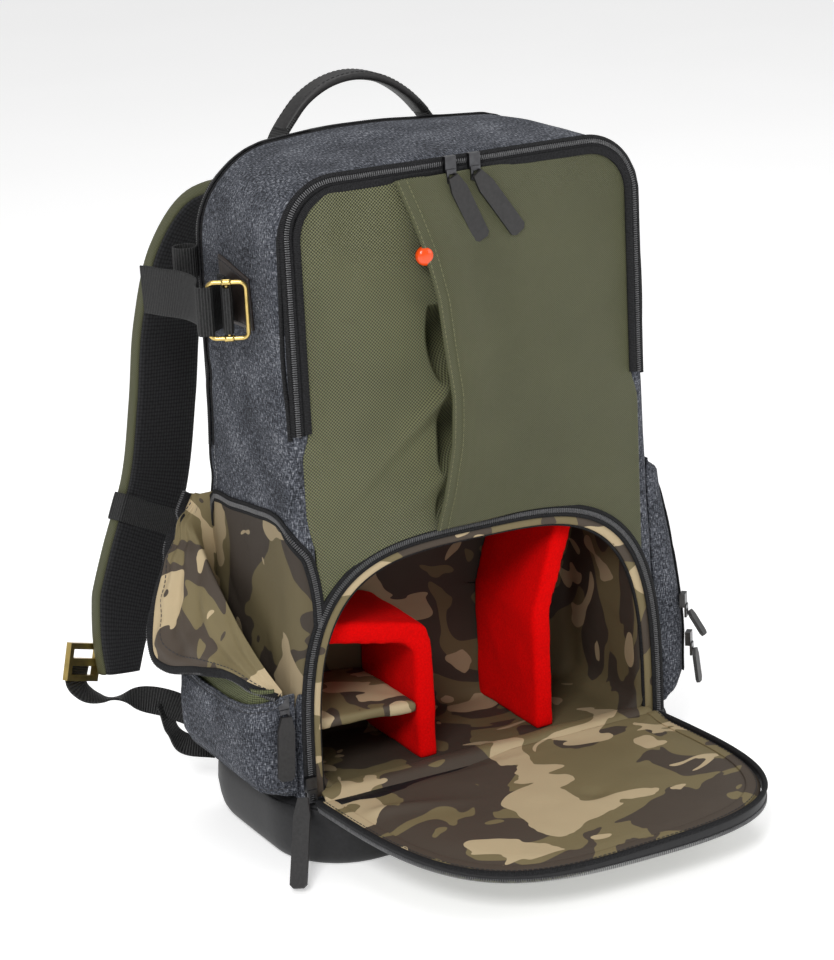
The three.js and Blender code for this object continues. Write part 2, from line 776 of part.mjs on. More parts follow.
function makeBackPanel() {
  const rings = [
    { y: PAD_FRONT, inset: 3 },
    { y: PAD_FRONT + BACK_PAD * 0.35, inset: 0 },
    { y: PAD_FRONT + BACK_PAD * 0.75, inset: 2 },
    { y: PAD_BACK, inset: 10 },
  ].map(({ y, inset }) => {
    const outline = [];
    const half = BACK_PAD_HALF - inset;
    const low = BOOT_HEIGHT + GAP + inset;
    const high = BODY_TOP - 6 - inset;
    const corners = [
      [half, low, -Math.PI / 2, 24],
      [half, high, 0, 56],
      [-half, high, Math.PI / 2, 56],
      [-half, low, Math.PI, 24],
    ];
    corners.forEach(([x, z, start, radius]) => {
      const cx = x - Math.sign(x) * radius;
      const cz = z === low ? z + radius : z - radius;
      span(5, start, start + Math.PI / 2).forEach((turn) =>
        outline.push(at(cx + radius * Math.cos(turn), y, cz + radius * Math.sin(turn))),
      );
    });
    return outline;
  });
  return loft(rings);
}

// Centre line of a shoulder strap. x is a share of HALF_TOP, y in pads behind the back panel,
// z a share of BODY_TOP.
const STRAP_ROUTE = [
  { x: 0.36, y: 0, z: 0.84 },
  { x: 0.4, y: 0.02, z: 0.875 },
  { x: 0.5, y: 0.5, z: 0.915 },
  { x: 0.66, y: 1.3, z: 0.895 },
  { x: 0.82, y: 1.9, z: 0.825 },
  { x: 0.92, y: 2.1, z: 0.72 },
  { x: 0.98, y: 2.1, z: 0.6 },
  { x: 1.07, y: 1.95, z: 0.475 },
  { x: 1.25, y: 1.5, z: 0.36 },
  { x: 1.38, y: 1.05, z: 0.265 },
  { x: 1.42, y: 0.9, z: 0.2 },
];

function strapRoute(side) {
  const rest = PAD_BACK + GAP + STRAP_PAD / 2;
  const points = STRAP_ROUTE.map(({ x, y, z }) => at(side * x * HALF_TOP, rest + y * BACK_PAD, z * BODY_TOP));
  return smooth(points, 26);
}

// The strap lies flat on the panel at its top and turns to face inwards further down.
const strapAcross = (side) => (share) => {
  const turn = THREE.MathUtils.degToRad(STRAP_TURN) * THREE.MathUtils.smoothstep(share, 0.05, 0.35);
  return at(-side * Math.cos(turn), Math.sin(turn), 0);
};

const strapWidth = (share) => STRAP_WIDTH * (share < 0.9 ? 1 : lerp(1, 0.6, (share - 0.9) / 0.1));

function makeStrap(side) {
  const strap = band(strapRoute(side), strapAcross(side), strapWidth, STRAP_PAD, 10);
  const reach = 2 * BODY_TOP;
  const behind = block(at(-reach, PAD_BACK + GAP, 0), at(reach, PAD_BACK + BODY_TOP, reach));
  return strap.intersect(behind);
}

// The strap's frame at a share of its length: a point on it, its length, its width and its outer face.
function strapFrame(side, share) {
  const route = strapRoute(side);
  const i = Math.round(share * (route.length - 1));
  const point = route[i];
  const along = route[Math.min(i + 1, route.length - 1)].clone().sub(route[Math.max(i - 1, 0)]).normalize();
  const wide = strapAcross(side)(share);
  wide.addScaledVector(along, -wide.dot(along)).normalize();
  const outer = along.clone().cross(wide).multiplyScalar(side > 0 ? -1 : 1);
  if (outer.y < 0) outer.negate();
  return { point, along, wide, outer };
}

function frameBox(frame, offset, size) {
  const box = new THREE.BoxGeometry(size.x, size.y, size.z);
  const basis = new THREE.Matrix4().makeBasis(frame.wide, frame.along, frame.wide.clone().cross(frame.along));
  const facing = Math.sign(frame.wide.clone().cross(frame.along).dot(frame.outer));
  box.translate(offset.x, offset.y, facing * offset.z);
  box.applyMatrix4(basis.setPosition(frame.point));
  return solidOf(box);
}

const LADDER_WIDE = WEBBING_WIDTH + 9;
const LADDER_TALL = 27;
const LADDER_THICK = 5;
const LADDER_INSET = 4;

// The ladder lock stands on the strap's outer face, past its edge, with two slots for the webbing.
const LADDER_PLACE = 0.93;
const KEEPER_PLACE = 0.74;
const KEEPER_TALL = 22;

const ladderOffset = (along, lift) => at(LADDER_INSET - STRAP_WIDTH / 2, LADDER_TALL + along, lift);

function makeLadderLock(side) {
  const frame = strapFrame(side, LADDER_PLACE);
  const lift = STRAP_PAD / 2 + GAP + LADDER_THICK / 2;
  const plate = frameBox(frame, ladderOffset(0, lift), at(LADDER_WIDE, LADDER_TALL, LADDER_THICK));
  const size = at(WEBBING_WIDTH + 2, LADDER_TALL * 0.24, 3 * LADDER_THICK);
  const slot = (along) => frameBox(frame, ladderOffset(along, lift), size);
  return plate.subtract(slot(LADDER_TALL * 0.22)).subtract(slot(-LADDER_TALL * 0.22));
}

// Shares of LADDER_TALL: where the webbing leaves the lock, and how much of it lies on the lock
const WEBBING_LEAVES = 1.55;
const WEBBING_ON_LOCK = 0.6;

// The lower webbing runs from the ladder lock to the bag's lower rear corner,
// and its spare end loops below it.
const LOWER_RUN = [
  { away: 0, side: 0, drop: 0 },
  { away: 0.06, side: 0.04, drop: 0.2 },
  { away: 0.12, side: 0.2, drop: 0.42 },
  { away: 0.25, side: 0.43, drop: 0.49 },
  { away: 0.4, side: 0.68, drop: 0.67 },
  { away: 0.6, side: 0.86, drop: 0.9 },
  { away: 1, side: 1, drop: 1 },
];
const LOWER_TAIL = [
  { away: 0.38, side: 0.64, drop: 0.66 },
  { away: 0.47, side: 0.69, drop: 1.15 },
  { away: 0.52, side: 0.78, drop: 1.55 },
  { away: 0.6, side: 1.05, drop: 1.78 },
];

// Places along a run, which goes from the ladder lock's lower end to the anchor at the bag's corner.
function webbingPlaces(side, frame, run) {
  const lift = STRAP_PAD / 2 + LADDER_THICK + 2 * GAP + WEBBING / 2;
  const start = frame.point
    .clone()
    .addScaledVector(frame.outer, lift)
    .addScaledVector(frame.along, LADDER_TALL * WEBBING_LEAVES)
    .addScaledVector(frame.wide, LADDER_INSET - STRAP_WIDTH / 2);
  const anchor = at(side * (HALF_LOW - 3), BACK + 2, WEBBING_ANCHOR);
  return run.map(({ away, side: across, drop }) =>
    at(lerp(start.x, anchor.x, across), lerp(start.y, anchor.y, away), lerp(start.z, anchor.z, drop)),
  );
}

function makeLowerWebbing(side) {
  const frame = strapFrame(side, LADDER_PLACE);
  const places = webbingPlaces(side, frame, LOWER_RUN);
  const onLock = places[0].clone().addScaledVector(frame.along, -LADDER_TALL * WEBBING_ON_LOCK);
  const upright = at(0, 0.2, 1);
  const across = (share) => frame.wide.clone().lerp(upright, THREE.MathUtils.smoothstep(share, 0.3, 0.8));
  const main = band(smooth([onLock, ...places], 22), across, WEBBING_WIDTH, WEBBING);
  const tailPath = smooth(webbingPlaces(side, frame, LOWER_TAIL), 12);
  const tail = band(tailPath, () => at(0, 0.5, 1), WEBBING_WIDTH * 0.8, WEBBING);
  return main
    .add(tail)
    .subtract(bootForm(GAP).add(bodyForm(2 * GAP)))
    .subtract(pouchForm(side, MESH + CLOTH + 4 * GAP));
}

// Grab handle

function makeHandle() {
  const y = PAD_FRONT + BACK_PAD / 2;
  const foot = BODY_TOP - 6 - HANDLE_SINK;
  const half = HANDLE_SPAN / 2;
  const points = span(24, -1, 1).map((share) => {
    const x = half * Math.sign(share) * Math.abs(share) ** 0.8;
    const rise = HANDLE_RISE + HANDLE_SINK;
    return at(x + HANDLE_SHIFT, y, foot + rise * Math.sqrt(Math.max(0, 1 - Math.abs(share) ** 2.6)));
  });
  const grip = band(points, () => at(0, 1, 0), HANDLE_WIDTH, HANDLE_PAD, 8);
  return grip.subtract(makeBackPanel().add(bodyForm(GAP)));
}

// Trim

function placed(geometry, centre, turn) {
  geometry.rotateZ(turn);
  geometry.translate(centre.x, centre.y, centre.z);
  return solidOf(geometry);
}

// The buckle's own frame: ahead runs towards the bag's front, out away from its side.
const BUCKLE_CENTRE = at(-HALF_TOP - BUCKLE_STAND, BUCKLE_PLACE, BUCKLE_HEIGHT);

function byBuckle(ahead, out, up = 0) {
  const skew = THREE.MathUtils.degToRad(BUCKLE_SKEW);
  return BUCKLE_CENTRE.clone()
    .addScaledVector(at(Math.sin(skew), -Math.cos(skew), 0), ahead)
    .addScaledVector(at(-Math.cos(skew), -Math.sin(skew), 0), out)
    .add(at(0, 0, up));
}

function buckleBlock(wide, tall, deep) {
  const box = new THREE.BoxGeometry(deep, wide, tall);
  const out = byBuckle(0, -1).sub(BUCKLE_CENTRE);
  return placed(box, BUCKLE_CENTRE, Math.atan2(out.y, out.x));
}

function makeBuckle(grow = 0) {
  const wire = BUCKLE_WIRE;
  const thick = wire + 2 * grow;
  const outer = buckleBlock(BUCKLE_WIDE + 2 * grow, BUCKLE_TALL + 2 * grow, thick);
  const inner = buckleBlock(BUCKLE_WIDE - wire - thick, BUCKLE_TALL - wire - thick, 3 * wire);
  return outer.subtract(inner).add(buckleBlock(thick, BUCKLE_TALL - wire, thick));
}

// The patch sewn to the bag's side behind the buckle
function makeSidePatch() {
  const half = BUCKLE_TALL / 2 + 4;
  const ahead = BUCKLE_PLACE - BUCKLE_WIDE;
  const behind = BUCKLE_PLACE + BUCKLE_WIDE * 1.5;
  return bodySkin(GAP, PATCH + GAP, sideBlock(-1, BUCKLE_HEIGHT - half, BUCKLE_HEIGHT + half, ahead, behind));
}

// Distances out from the bag's side of the first and second layer of webbing sewn to the patch
const SIDE_SWELL = 0.2 * EDGE_ROUND;
const FIRST_LAYER = SIDE_SWELL + PATCH + 2 * GAP + SIDE_WEB / 2;
const SECOND_LAYER = FIRST_LAYER + SIDE_WEB + GAP;

const bySide = (out, behind, drop = 0) =>
  at(-HALF_TOP - out, BUCKLE_PLACE + behind, BUCKLE_HEIGHT - drop);

const UPRIGHT = () => at(0, 0, 1);

// The short loop that holds the buckle's middle bar
function makeBuckleLoop() {
  const turn = (BUCKLE_WIRE + SIDE_WEB) / 2 + GAP;
  const path = [
    bySide(FIRST_LAYER, 36),
    bySide(FIRST_LAYER, 22),
    byBuckle(-turn * 1.6, -turn * 2),
    byBuckle(-turn, 0),
    byBuckle(-turn * 0.6, turn),
    byBuckle(turn * 0.6, turn),
    byBuckle(turn, 0),
    byBuckle(turn * 0.6, -turn * 1.2),
    byBuckle(-turn * 0.2, -turn * 2.4),
  ];
  return band(smooth(path, 30), UPRIGHT, SIDE_WEBBING, SIDE_WEB)
    .subtract(makeBuckle(GAP))
    .subtract(bodyForm(PATCH + 2 * GAP));
}

// The side strap: sewn to the patch, out behind the rear bar, over it, and back to its free end
function makeSideStrap() {
  const bar = (BUCKLE_WIDE - BUCKLE_WIRE) / 2;
  const turn = (BUCKLE_WIRE + SIDE_WEB) / 2 + GAP;
  const path = [
    bySide(SECOND_LAYER, 36),
    bySide(SECOND_LAYER, 26),
    byBuckle(-bar, -turn * 1.5),
    byBuckle(-bar + turn * 0.9, -turn * 0.5),
    byBuckle(-bar + turn * 0.7, turn * 0.7),
    byBuckle(-bar, turn * 1.1),
    byBuckle(-bar - 6, turn * 1.1),
    bySide(BUCKLE_STAND + 6, 36, 0),
    bySide(BUCKLE_STAND + 6, 58, 0),
    bySide(BUCKLE_STAND + 12, 80, 1),
    bySide(BUCKLE_STAND + 17, SIDE_TAIL, 2),
  ];
  return band(smooth(path, 44), UPRIGHT, SIDE_WEBBING, SIDE_WEB)
    .subtract(makeBuckle(GAP))
    .subtract(bodyForm(ZIP_RISE + 2 * GAP));
}

// A curl of webbing that stands out of the rear seam behind the side strap
function makeSideLoop() {
  const radius = BUCKLE_STAND / 2 - SIDE_WEB / 2;
  const centre = at(-HALF_TOP - radius, BACK - ZIP_BAND, BUCKLE_HEIGHT + BUCKLE_TALL * 0.4);
  const path = span(16, 0.1, 2 * Math.PI - 0.1).map((turn) =>
    centre.clone().add(at(radius * Math.cos(turn), radius * Math.sin(turn), 0)),
  );
  return band(path, UPRIGHT, SIDE_WEBBING * 0.65, SIDE_WEB).subtract(bodyForm(ZIP_RISE + 2 * GAP));
}

function makeKeeper(side) {
  const frame = strapFrame(side, KEEPER_PLACE);
  const wide = STRAP_WIDTH + 2 * GAP + 1;
  const size = at(wide + 2 * WEBBING, KEEPER_TALL, STRAP_PAD / 2 + 4);
  const outer = frameBox(frame, at(0, 0, STRAP_PAD / 4 + 2), size);
  return outer.subtract(frameBox(frame, at(0, 0, 0), at(wide, 2 * KEEPER_TALL, STRAP_PAD + 2 * GAP + 1)));
}

function shiftedForward(solid) {
  const geometry = geometryOf(solid);
  geometry.translate(0, -GAP, 0);
  return solidOf(geometry);
}

// Zip sliders and their leather pullers

// Turns a shape whose length runs along its +Y and whose face looks along its +Z.
function aimed(geometry, from, down, out) {
  const across = down.clone().cross(out).normalize();
  const face = across.clone().cross(down).normalize();
  geometry.applyMatrix4(new THREE.Matrix4().makeBasis(across, down, face).setPosition(from));
  return solidOf(geometry);
}

// A slider's block, with the ring that its puller hangs on below it.
function makeSlider(centre, down, out) {
  const part = (wide, tall, deep, along, lift) => {
    const geometry = new THREE.BoxGeometry(wide, tall, deep);
    geometry.translate(0, along, lift);
    return aimed(geometry, centre, down, out);
  };
  const lift = SLIDER / 2;
  const ring = part(SLIDER_WIDE - 1, SLIDER_TALL - 1, 1.6, SLIDER_TALL * 0.8, lift);
  const hole = part(SLIDER_WIDE - 4, SLIDER_TALL - 5, 4, SLIDER_TALL * 0.9, lift);
  return part(SLIDER_WIDE, SLIDER_TALL, SLIDER, 0, 0).add(ring.subtract(hole));
}

// A puller starts on its slider's ring and ends at the point given.
function makePull(centre, downAtSlider, face, to, out) {
  const lift = SLIDER / 2 + 0.8 + GAP + PULL_LEATHER / 2;
  const from = centre.clone().addScaledVector(downAtSlider, SLIDER_TALL * 0.8).addScaledVector(face, lift);
  from.addScaledVector(out.clone().sub(face), PULL_LEATHER * 4);
  const length = from.distanceTo(to);
  const down = to.clone().sub(from).normalize();
  const half = PULL_WIDTH / 2;
  const shape = new THREE.Shape();
  shape.moveTo(-half * 0.6, 0);
  shape.lineTo(half * 0.6, 0);
  shape.lineTo(half, length * 0.2);
  shape.lineTo(half, length - half * 0.4);
  shape.lineTo(half * 0.6, length);
  shape.lineTo(-half * 0.6, length);
  shape.lineTo(-half, length - half * 0.4);
  shape.lineTo(-half, length * 0.2);
  const slab = new THREE.ExtrudeGeometry(shape, { depth: PULL_LEATHER, bevelEnabled: false });
  slab.translate(0, 0, -PULL_LEATHER / 2);
  return aimed(slab, from, down, out);
}

const DOWN = at(0, 0, -1);
const OUT_FRONT = at(0, -1, 0);
const ZIP_SEAT = ZIP_RISE + 2 * GAP + SLIDER / 2;

function topSliderPlace(x) {
  return at(x, FRONT - ZIP_SEAT, PANEL_TOP + 2 * GAP + SLIDER_TALL / 2);
}

function topPullEnd(x) {
  const z = PANEL_TOP - 46;
  return at(x, overFace(x, z) - PULL_LEATHER, z);
}

const DOOR_SLIDER = at(-DOOR_HALF - ZIP_BAND + 1.5, FRONT - ZIP_SEAT, SILL + SLIDER_TALL * 1.3);
const POUCH_SLIDER = at(-halfAt(POUCH_MOUTH) - 8, POUCH_FRONT - 2 * GAP - SLIDER / 2, POUCH_MOUTH - 1);

// A place on the zip at the right pocket's front corner.
function rightSliderPlace(z) {
  const height = (z - POUCH_LOW) / (POUCH_TOP - POUCH_LOW);
  const next = POUCH_LEVELS.findIndex((row) => row.height > height);
  const [a, b] = [POUCH_LEVELS[next - 1], POUCH_LEVELS[next]];
  const out = lerp(a.out, b.out, (height - a.height) / (b.height - a.height));
  const far = halfAt(z) + 3 * GAP + POUCH_OUT * out - POUCH_ROUND;
  const reach = POUCH_ROUND + ZIP_RISE + 2 * GAP + SLIDER / 2;
  return at(far + reach * Math.SQRT1_2, POUCH_FRONT + POUCH_ROUND - reach * Math.SQRT1_2, z);
}

const OUT_RIGHT = at(1, -1, 0).normalize();

// Each row: the slider's place and the way it faces, and the puller's far end and the way that faces.
const PULLS = [
  { name: "front_left", slider: topSliderPlace(-13), face: OUT_FRONT, to: topPullEnd(6), out: OUT_FRONT },
  { name: "front_right", slider: topSliderPlace(5), face: OUT_FRONT, to: topPullEnd(36), out: OUT_FRONT },
  {
    name: "door",
    slider: DOOR_SLIDER,
    face: OUT_FRONT,
    to: DOOR_SLIDER.clone().add(at(-29, -33, -56)),
    out: at(-0.7, -0.7, 0).normalize(),
  },
  {
    name: "left_pocket",
    slider: POUCH_SLIDER,
    face: OUT_FRONT,
    to: POUCH_SLIDER.clone().add(at(-4, -7, -52)),
    out: OUT_FRONT,
  },
  {
    name: "right_pocket_upper",
    slider: rightSliderPlace(POUCH_MOUTH + 4),
    face: OUT_RIGHT,
    to: rightSliderPlace(POUCH_MOUTH + 4).add(at(9, -13, -25)),
    out: OUT_RIGHT,
  },
  {
    name: "right_pocket_lower",
    slider: rightSliderPlace(POUCH_MOUTH - 26),
    face: OUT_RIGHT,
    to: rightSliderPlace(POUCH_MOUTH - 26).add(at(3, -8, -32)),
    out: OUT_RIGHT,
  },
];

// The round button on the upper layer, beside its free edge. Its back follows the cloth.
function makeButton() {
  const z = BUTTON_HEIGHT;
  const x = overlapX(z) + 1;
  const profile = [
    [0, -2],
    [BUTTON_RADIUS * 0.8, -2],
    [BUTTON_RADIUS, 1],
    [BUTTON_RADIUS, 1.8],
    [BUTTON_RADIUS * 0.7, 3.4],
    [0, 4],
  ].map(([radius, lift]) => new THREE.Vector2(radius, lift));
  const lathe = new THREE.LatheGeometry(profile, 14);
  lathe.rotateX(Math.PI);
  lathe.translate(x, overFace(x, z), z);
  return solidOf(lathe).subtract(shiftedForward(makePanelOver())).subtract(makePanelOver());
}

// Materials

const LOOKS = {
  denim: { color: 0x565a66, roughness: 0.9, metalness: 0 },
  nylon: { color: 0x5a5a3e, roughness: 0.7, metalness: 0 },
  camo: { color: 0x766a4b, roughness: 0.8, metalness: 0 },
  red: { color: 0xd40000, roughness: 0.9, metalness: 0 },
  black: { color: 0x1c1c1e, roughness: 0.8, metalness: 0 },
  leather: { color: 0x3a3533, roughness: 0.6, metalness: 0 },
  brass: { color: 0xc9b24a, roughness: 0.35, metalness: 0.9 },
  steel: { color: 0x3a3a3c, roughness: 0.4, metalness: 0.8 },
  orange: { color: 0xe8501a, roughness: 0.3, metalness: 0 },
};

const bag = new THREE.Group();

function addPart(name, look, solid) {
  const mesh = new THREE.Mesh(geometryOf(solid), new THREE.MeshStandardMaterial(LOOKS[look]));
  mesh.name = name;
  bag.add(mesh);
}

addPart("body_shell", "denim", makeBodyShell());
addPart("base_boot", "black", makeBaseBoot());
addPart("back_panel", "black", makeBackPanel());
addPart("camera_liner", "camo", makeLiner());
addPart("divider_left", "red", makeLeftDivider());
addPart("divider_right", "red", makeRightDivider());
addPart("divider_shelf", "camo", makeLowShelf());
addPart("front_panel_under", "nylon", makePanelUnder());
addPart("front_panel_over", "nylon", makePanelOver());
addPart("front_zip", "black", makeFrontZip());
addPart("rear_zip", "black", makeRearZip());
addPart("door_zip", "black", makeDoorZip());
addPart("camera_door", "camo", makeDoorPad());
addPart("door_rim", "black", makeDoorRim());
addPart("left_pocket_pouch", "denim", makeLeftPouch());
addPart("left_pocket_flap", "denim", makePocketFlap());
addPart("left_pocket_lining", "camo", makePocketLining());
addPart("left_pocket_zip", "black", makePocketZip());
addPart("left_mesh_pocket", "nylon", makeMeshPocket());
addPart("left_slip_pocket", "denim", makeSlipPocket());
addPart("right_pocket", "denim", makeRightPocket());
addPart("right_pocket_zip", "black", makeRightZip());
addPart("grab_handle", "black", makeHandle());
addPart("side_patch", "leather", makeSidePatch());
addPart("side_buckle", "brass", makeBuckle());
addPart("side_strap", "black", makeSideStrap());
addPart("side_buckle_loop", "black", makeBuckleLoop());
addPart("side_strap_loop", "black", makeSideLoop());
for (const side of [-1, 1]) {
  const hand = side < 0 ? "left" : "right";
  addPart(`shoulder_strap_${hand}`, "black", makeStrap(side));
  addPart(`ladder_lock_${hand}`, "brass", makeLadderLock(side));
  addPart(`lower_webbing_${hand}`, "black", makeLowerWebbing(side));
  addPart(`strap_keeper_${hand}`, "black", makeKeeper(side));
}

const sliderRoom = pouchForm(1, ZIP_RISE + 2 * GAP).add(shiftedForward(makePanelOver())).add(makePanelOver());
for (const { name, slider, face, to, out } of PULLS) {
  addPart(`${name}_slider`, "steel", makeSlider(slider, DOWN, face).subtract(sliderRoom));
  addPart(`${name}_pull`, "leather", makePull(slider, DOWN, face, to, out).subtract(sliderRoom));
}
addPart("front_button", "orange", makeButton());

export default bag;
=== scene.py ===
# Camera backpack, standing open: cloth, zips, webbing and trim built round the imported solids.
# Sizes in the tables are in millimetres, in the row frame: X across, -Y front, +Z up.
import math

import bmesh
import bpy
import numpy as np
from mathutils import Matrix, Vector, noise
from mathutils.bvhtree import BVHTree


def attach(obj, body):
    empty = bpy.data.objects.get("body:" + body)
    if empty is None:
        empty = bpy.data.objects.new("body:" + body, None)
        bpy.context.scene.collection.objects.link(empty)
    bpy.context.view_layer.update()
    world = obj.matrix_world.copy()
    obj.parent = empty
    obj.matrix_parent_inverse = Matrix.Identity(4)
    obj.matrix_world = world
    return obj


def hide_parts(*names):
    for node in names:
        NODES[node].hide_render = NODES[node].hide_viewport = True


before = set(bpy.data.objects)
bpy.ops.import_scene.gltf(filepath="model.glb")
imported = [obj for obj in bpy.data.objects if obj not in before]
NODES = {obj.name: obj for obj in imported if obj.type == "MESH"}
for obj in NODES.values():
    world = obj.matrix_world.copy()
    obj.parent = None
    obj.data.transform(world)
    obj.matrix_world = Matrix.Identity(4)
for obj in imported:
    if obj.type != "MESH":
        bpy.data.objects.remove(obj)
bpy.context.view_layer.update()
MM = 0.001

# Sizes shared with the solids
BODY_TOP, BODY_DEPTH, HALF_TOP, HALF_LOW = 467, 136, 138, 146
FRONT, BACK, BOTTOM = -68, 68, 4.3
EDGE_ROUND, FLOOR_ROUND, GAP = 9, 22, 0.3
SILL, DOOR_HALF, DOOR_LENGTH, DOOR_POWER = 47, 135, 165, 3.5
PANEL_HALF, PANEL_TOP, PANEL_CORNER, PANEL_BULGE, EDGE_SCALE = 124, 459, 32, 7, 121
POUCH_FRONT, POUCH_BACK, POUCH_OUT, POUCH_ROUND = -60, 62, 27, 14
POUCH_LOW, POUCH_MOUTH, POUCH_TOP = 49, 118, 230
PAD_FRONT, PAD_BACK, PAD_HALF = 68.3, 90.3, 126
BOOT_HEIGHT, BOOT_ROUND, BOOT_HALF, BOOT_FRONT, BOOT_BACK, BOOT_CORNER = 46, 9, 157, -94, 88, 58


# Small tools


def lerp(a, b, t):
    return a + (b - a) * t


def smoothstep(x, low, high):
    t = np.clip((np.asarray(x, float) - low) / (high - low), 0, 1)
    return t * t * (3 - 2 * t)


def unit(v):
    return v / np.maximum(np.linalg.norm(v, axis=-1, keepdims=True), 1e-9)


def distances(points):
    """How far along a line each of its points lies."""
    return np.concatenate([[0], np.cumsum(np.linalg.norm(np.diff(points, axis=0), axis=1))])


def resample(points, count):
    points = np.asarray(points, float)
    run = distances(points)
    places = np.linspace(0, run[-1], count)
    return np.stack([np.interp(places, run, points[:, k]) for k in range(points.shape[1])], -1)


def curve(points, count):
    """A centripetal curve through the points, evenly spaced."""
    p = np.array(points, float)
    p = np.vstack([2 * p[0] - p[1], p, 2 * p[-1] - p[-2]])
    t = np.concatenate([[0], np.cumsum(np.sqrt(np.linalg.norm(np.diff(p, axis=0), axis=1)))])
    out = []
    for i in range(1, len(p) - 2):
        s = np.linspace(t[i], t[i + 1], 20, endpoint=False)[:, None]
        a = [((t[k + 1] - s) * p[k] + (s - t[k]) * p[k + 1]) / (t[k + 1] - t[k]) for k in (i - 1, i, i + 1)]
        pairs = ((0, i - 1), (1, i))
        b = [((t[k + 2] - s) * a[j] + (s - t[k]) * a[j + 1]) / (t[k + 2] - t[k]) for j, k in pairs]
        out.append(((t[i + 1] - s) * b[0] + (s - t[i]) * b[1]) / (t[i + 1] - t[i]))
    return resample(np.vstack([*out, p[-2][None]]), count)


def swell(points, size, seed):
    """Smooth noise at each point, with lumps of about the given size."""
    flat = np.asarray(points, float).reshape(-1, 3)
    shift = Vector((seed * 17.3, seed * 5.1, seed * 11.7))
    values = [noise.noise(Vector(p) / size + shift) for p in flat]
    return np.array(values).reshape(np.asarray(points).shape[:-1])


def half_at(z):
    return lerp(HALF_LOW, HALF_TOP, smoothstep(z, SILL, 300))


def hump(x, place, width):
    """1 at a place, fading softly to 0 on both sides of it."""
    return np.exp(-(((x - place) / width) ** 2))


def arc(centre, radius, begin, end, count):
    """Points round a centre, from one quarter turn to another. The radius may differ each way."""
    turn = np.linspace(begin, end, count) * np.pi / 2
    return np.add(centre, np.stack([np.cos(turn), np.sin(turn)], -1) * radius)


def round_box(half, low, high, low_round, high_round, steps, count):
    """A closed outline with round corners, begun at its lower right one."""
    low_end, high_end = (low + low_round, low_round), (high - high_round, high_round)
    line = []
    for i, (side, (end, r)) in enumerate([(1, low_end), (1, high_end), (-1, high_end), (-1, low_end)]):
        line += list(arc((side * (half - r), end), r, i - 1, i, steps))
    return resample(np.array([*line, line[0]]), count + 1)[:-1]


def upright(line, y):
    """Flat points (x, z) stood up at a depth."""
    return np.stack([line[:, 0], np.full(len(line), float(y)), line[:, 1]], -1)


def on_front(line):
    return upright(line, FRONT)


# Materials

LOOKS = {}


def link_in(tree, node, inputs):
    for key, value in inputs.items():
        if isinstance(value, bpy.types.NodeSocket):
            tree.links.new(value, node.inputs[key])
        else:
            node.inputs[key].default_value = value


def add(tree, kind, inputs=None, **props):
    node = tree.nodes.new("ShaderNode" + kind)
    for key, value in props.items():
        setattr(node, key, value)
    link_in(tree, node, inputs or {})
    return node


def maths(tree, operation, a, b=0.0):
    return add(tree, "Math", {0: a, 1: b}, operation=operation).outputs[0]


def plus(tree, a, b):
    return maths(tree, "ADD", a, b)


def times(tree, a, b):
    return maths(tree, "MULTIPLY", a, b)


def ramp(tree, factor, stops, constant=False):
    node = add(tree, "ValToRGB", {"Fac": factor})
    node.color_ramp.interpolation = "CONSTANT" if constant else "LINEAR"
    while len(node.color_ramp.elements) < len(stops):
        node.color_ramp.elements.new(0.5)
    for element, (place, colour) in zip(node.color_ramp.elements, stops):
        element.position = place
        element.color = (*colour, 1)
    return node.outputs["Color"]


def noise_at(tree, vector, scale, detail=2.0, rough=0.5, distortion=0.0):
    inputs = {"Vector": vector, "Scale": scale, "Detail": detail, "Roughness": rough}
    return add(tree, "TexNoise", {**inputs, "Distortion": distortion}).outputs["Fac"]


def stretched(tree, vector, scale):
    return add(tree, "Mapping", {"Vector": vector, "Scale": scale}).outputs["Vector"]


def ribs(tree, uv, axis, pitch):
    """Sine waves along one axis, of a pitch in metres."""
    place = add(tree, "SeparateXYZ", {"Vector": uv}).outputs[axis]
    return maths(tree, "SINE", times(tree, place, 2 * math.pi / pitch))


def waves(tree, uv, pitch):
    """Threads over and under: the ribs of both axes together."""
    return times(tree, ribs(tree, uv, 0, pitch), ribs(tree, uv, 1, pitch))


def start(name, rough, shine=0.5, **sockets):
    made = bpy.data.materials.new(name)
    made.use_nodes = True
    shader = made.node_tree.nodes["Principled BSDF"]
    link_in(made.node_tree, shader, {"Roughness": rough, "Specular IOR Level": shine, **sockets})
    LOOKS[name] = made
    return made.node_tree, shader


def paint(tree, shader, tone, stops):
    tree.links.new(ramp(tree, tone, stops), shader.inputs["Base Color"])


def bump(tree, shader, height, strength, distance):
    node = add(tree, "Bump", {"Height": height, "Strength": strength, "Distance": distance})
    tree.links.new(node.outputs["Normal"], shader.inputs["Normal"])


def shade(colour, share):
    return tuple(min(1, c * share) for c in colour)


def weave_uv(tree):
    return add(tree, "UVMap", uv_map="weave").outputs["UV"]


def solid_place(tree):
    return add(tree, "TexCoord").outputs["Object"]


def make_denim(name):
    tree, shader = start(name, 0.92, 0.25)
    uv = weave_uv(tree)
    warp = noise_at(tree, stretched(tree, uv, (1150, 300, 1)), 1.0)
    weft = noise_at(tree, stretched(tree, uv, (360, 1150, 1)), 1.0)
    heather = plus(tree, times(tree, warp, 0.6), times(tree, weft, 0.4))
    patchy = maths(tree, "SUBTRACT", noise_at(tree, uv, 28.0, 3), 0.5)
    heather = plus(tree, heather, times(tree, patchy, 0.22))
    tones = [(0.008, 0.009, 0.011), (0.036, 0.039, 0.048), (0.09, 0.096, 0.114), (0.32, 0.33, 0.355)]
    paint(tree, shader, heather, list(zip((0.36, 0.47, 0.56, 0.7), tones)))
    threads = times(tree, waves(tree, uv, 0.0011), 0.25)
    bump(tree, shader, plus(tree, times(tree, heather, 0.6), threads), 0.55, 0.0006)


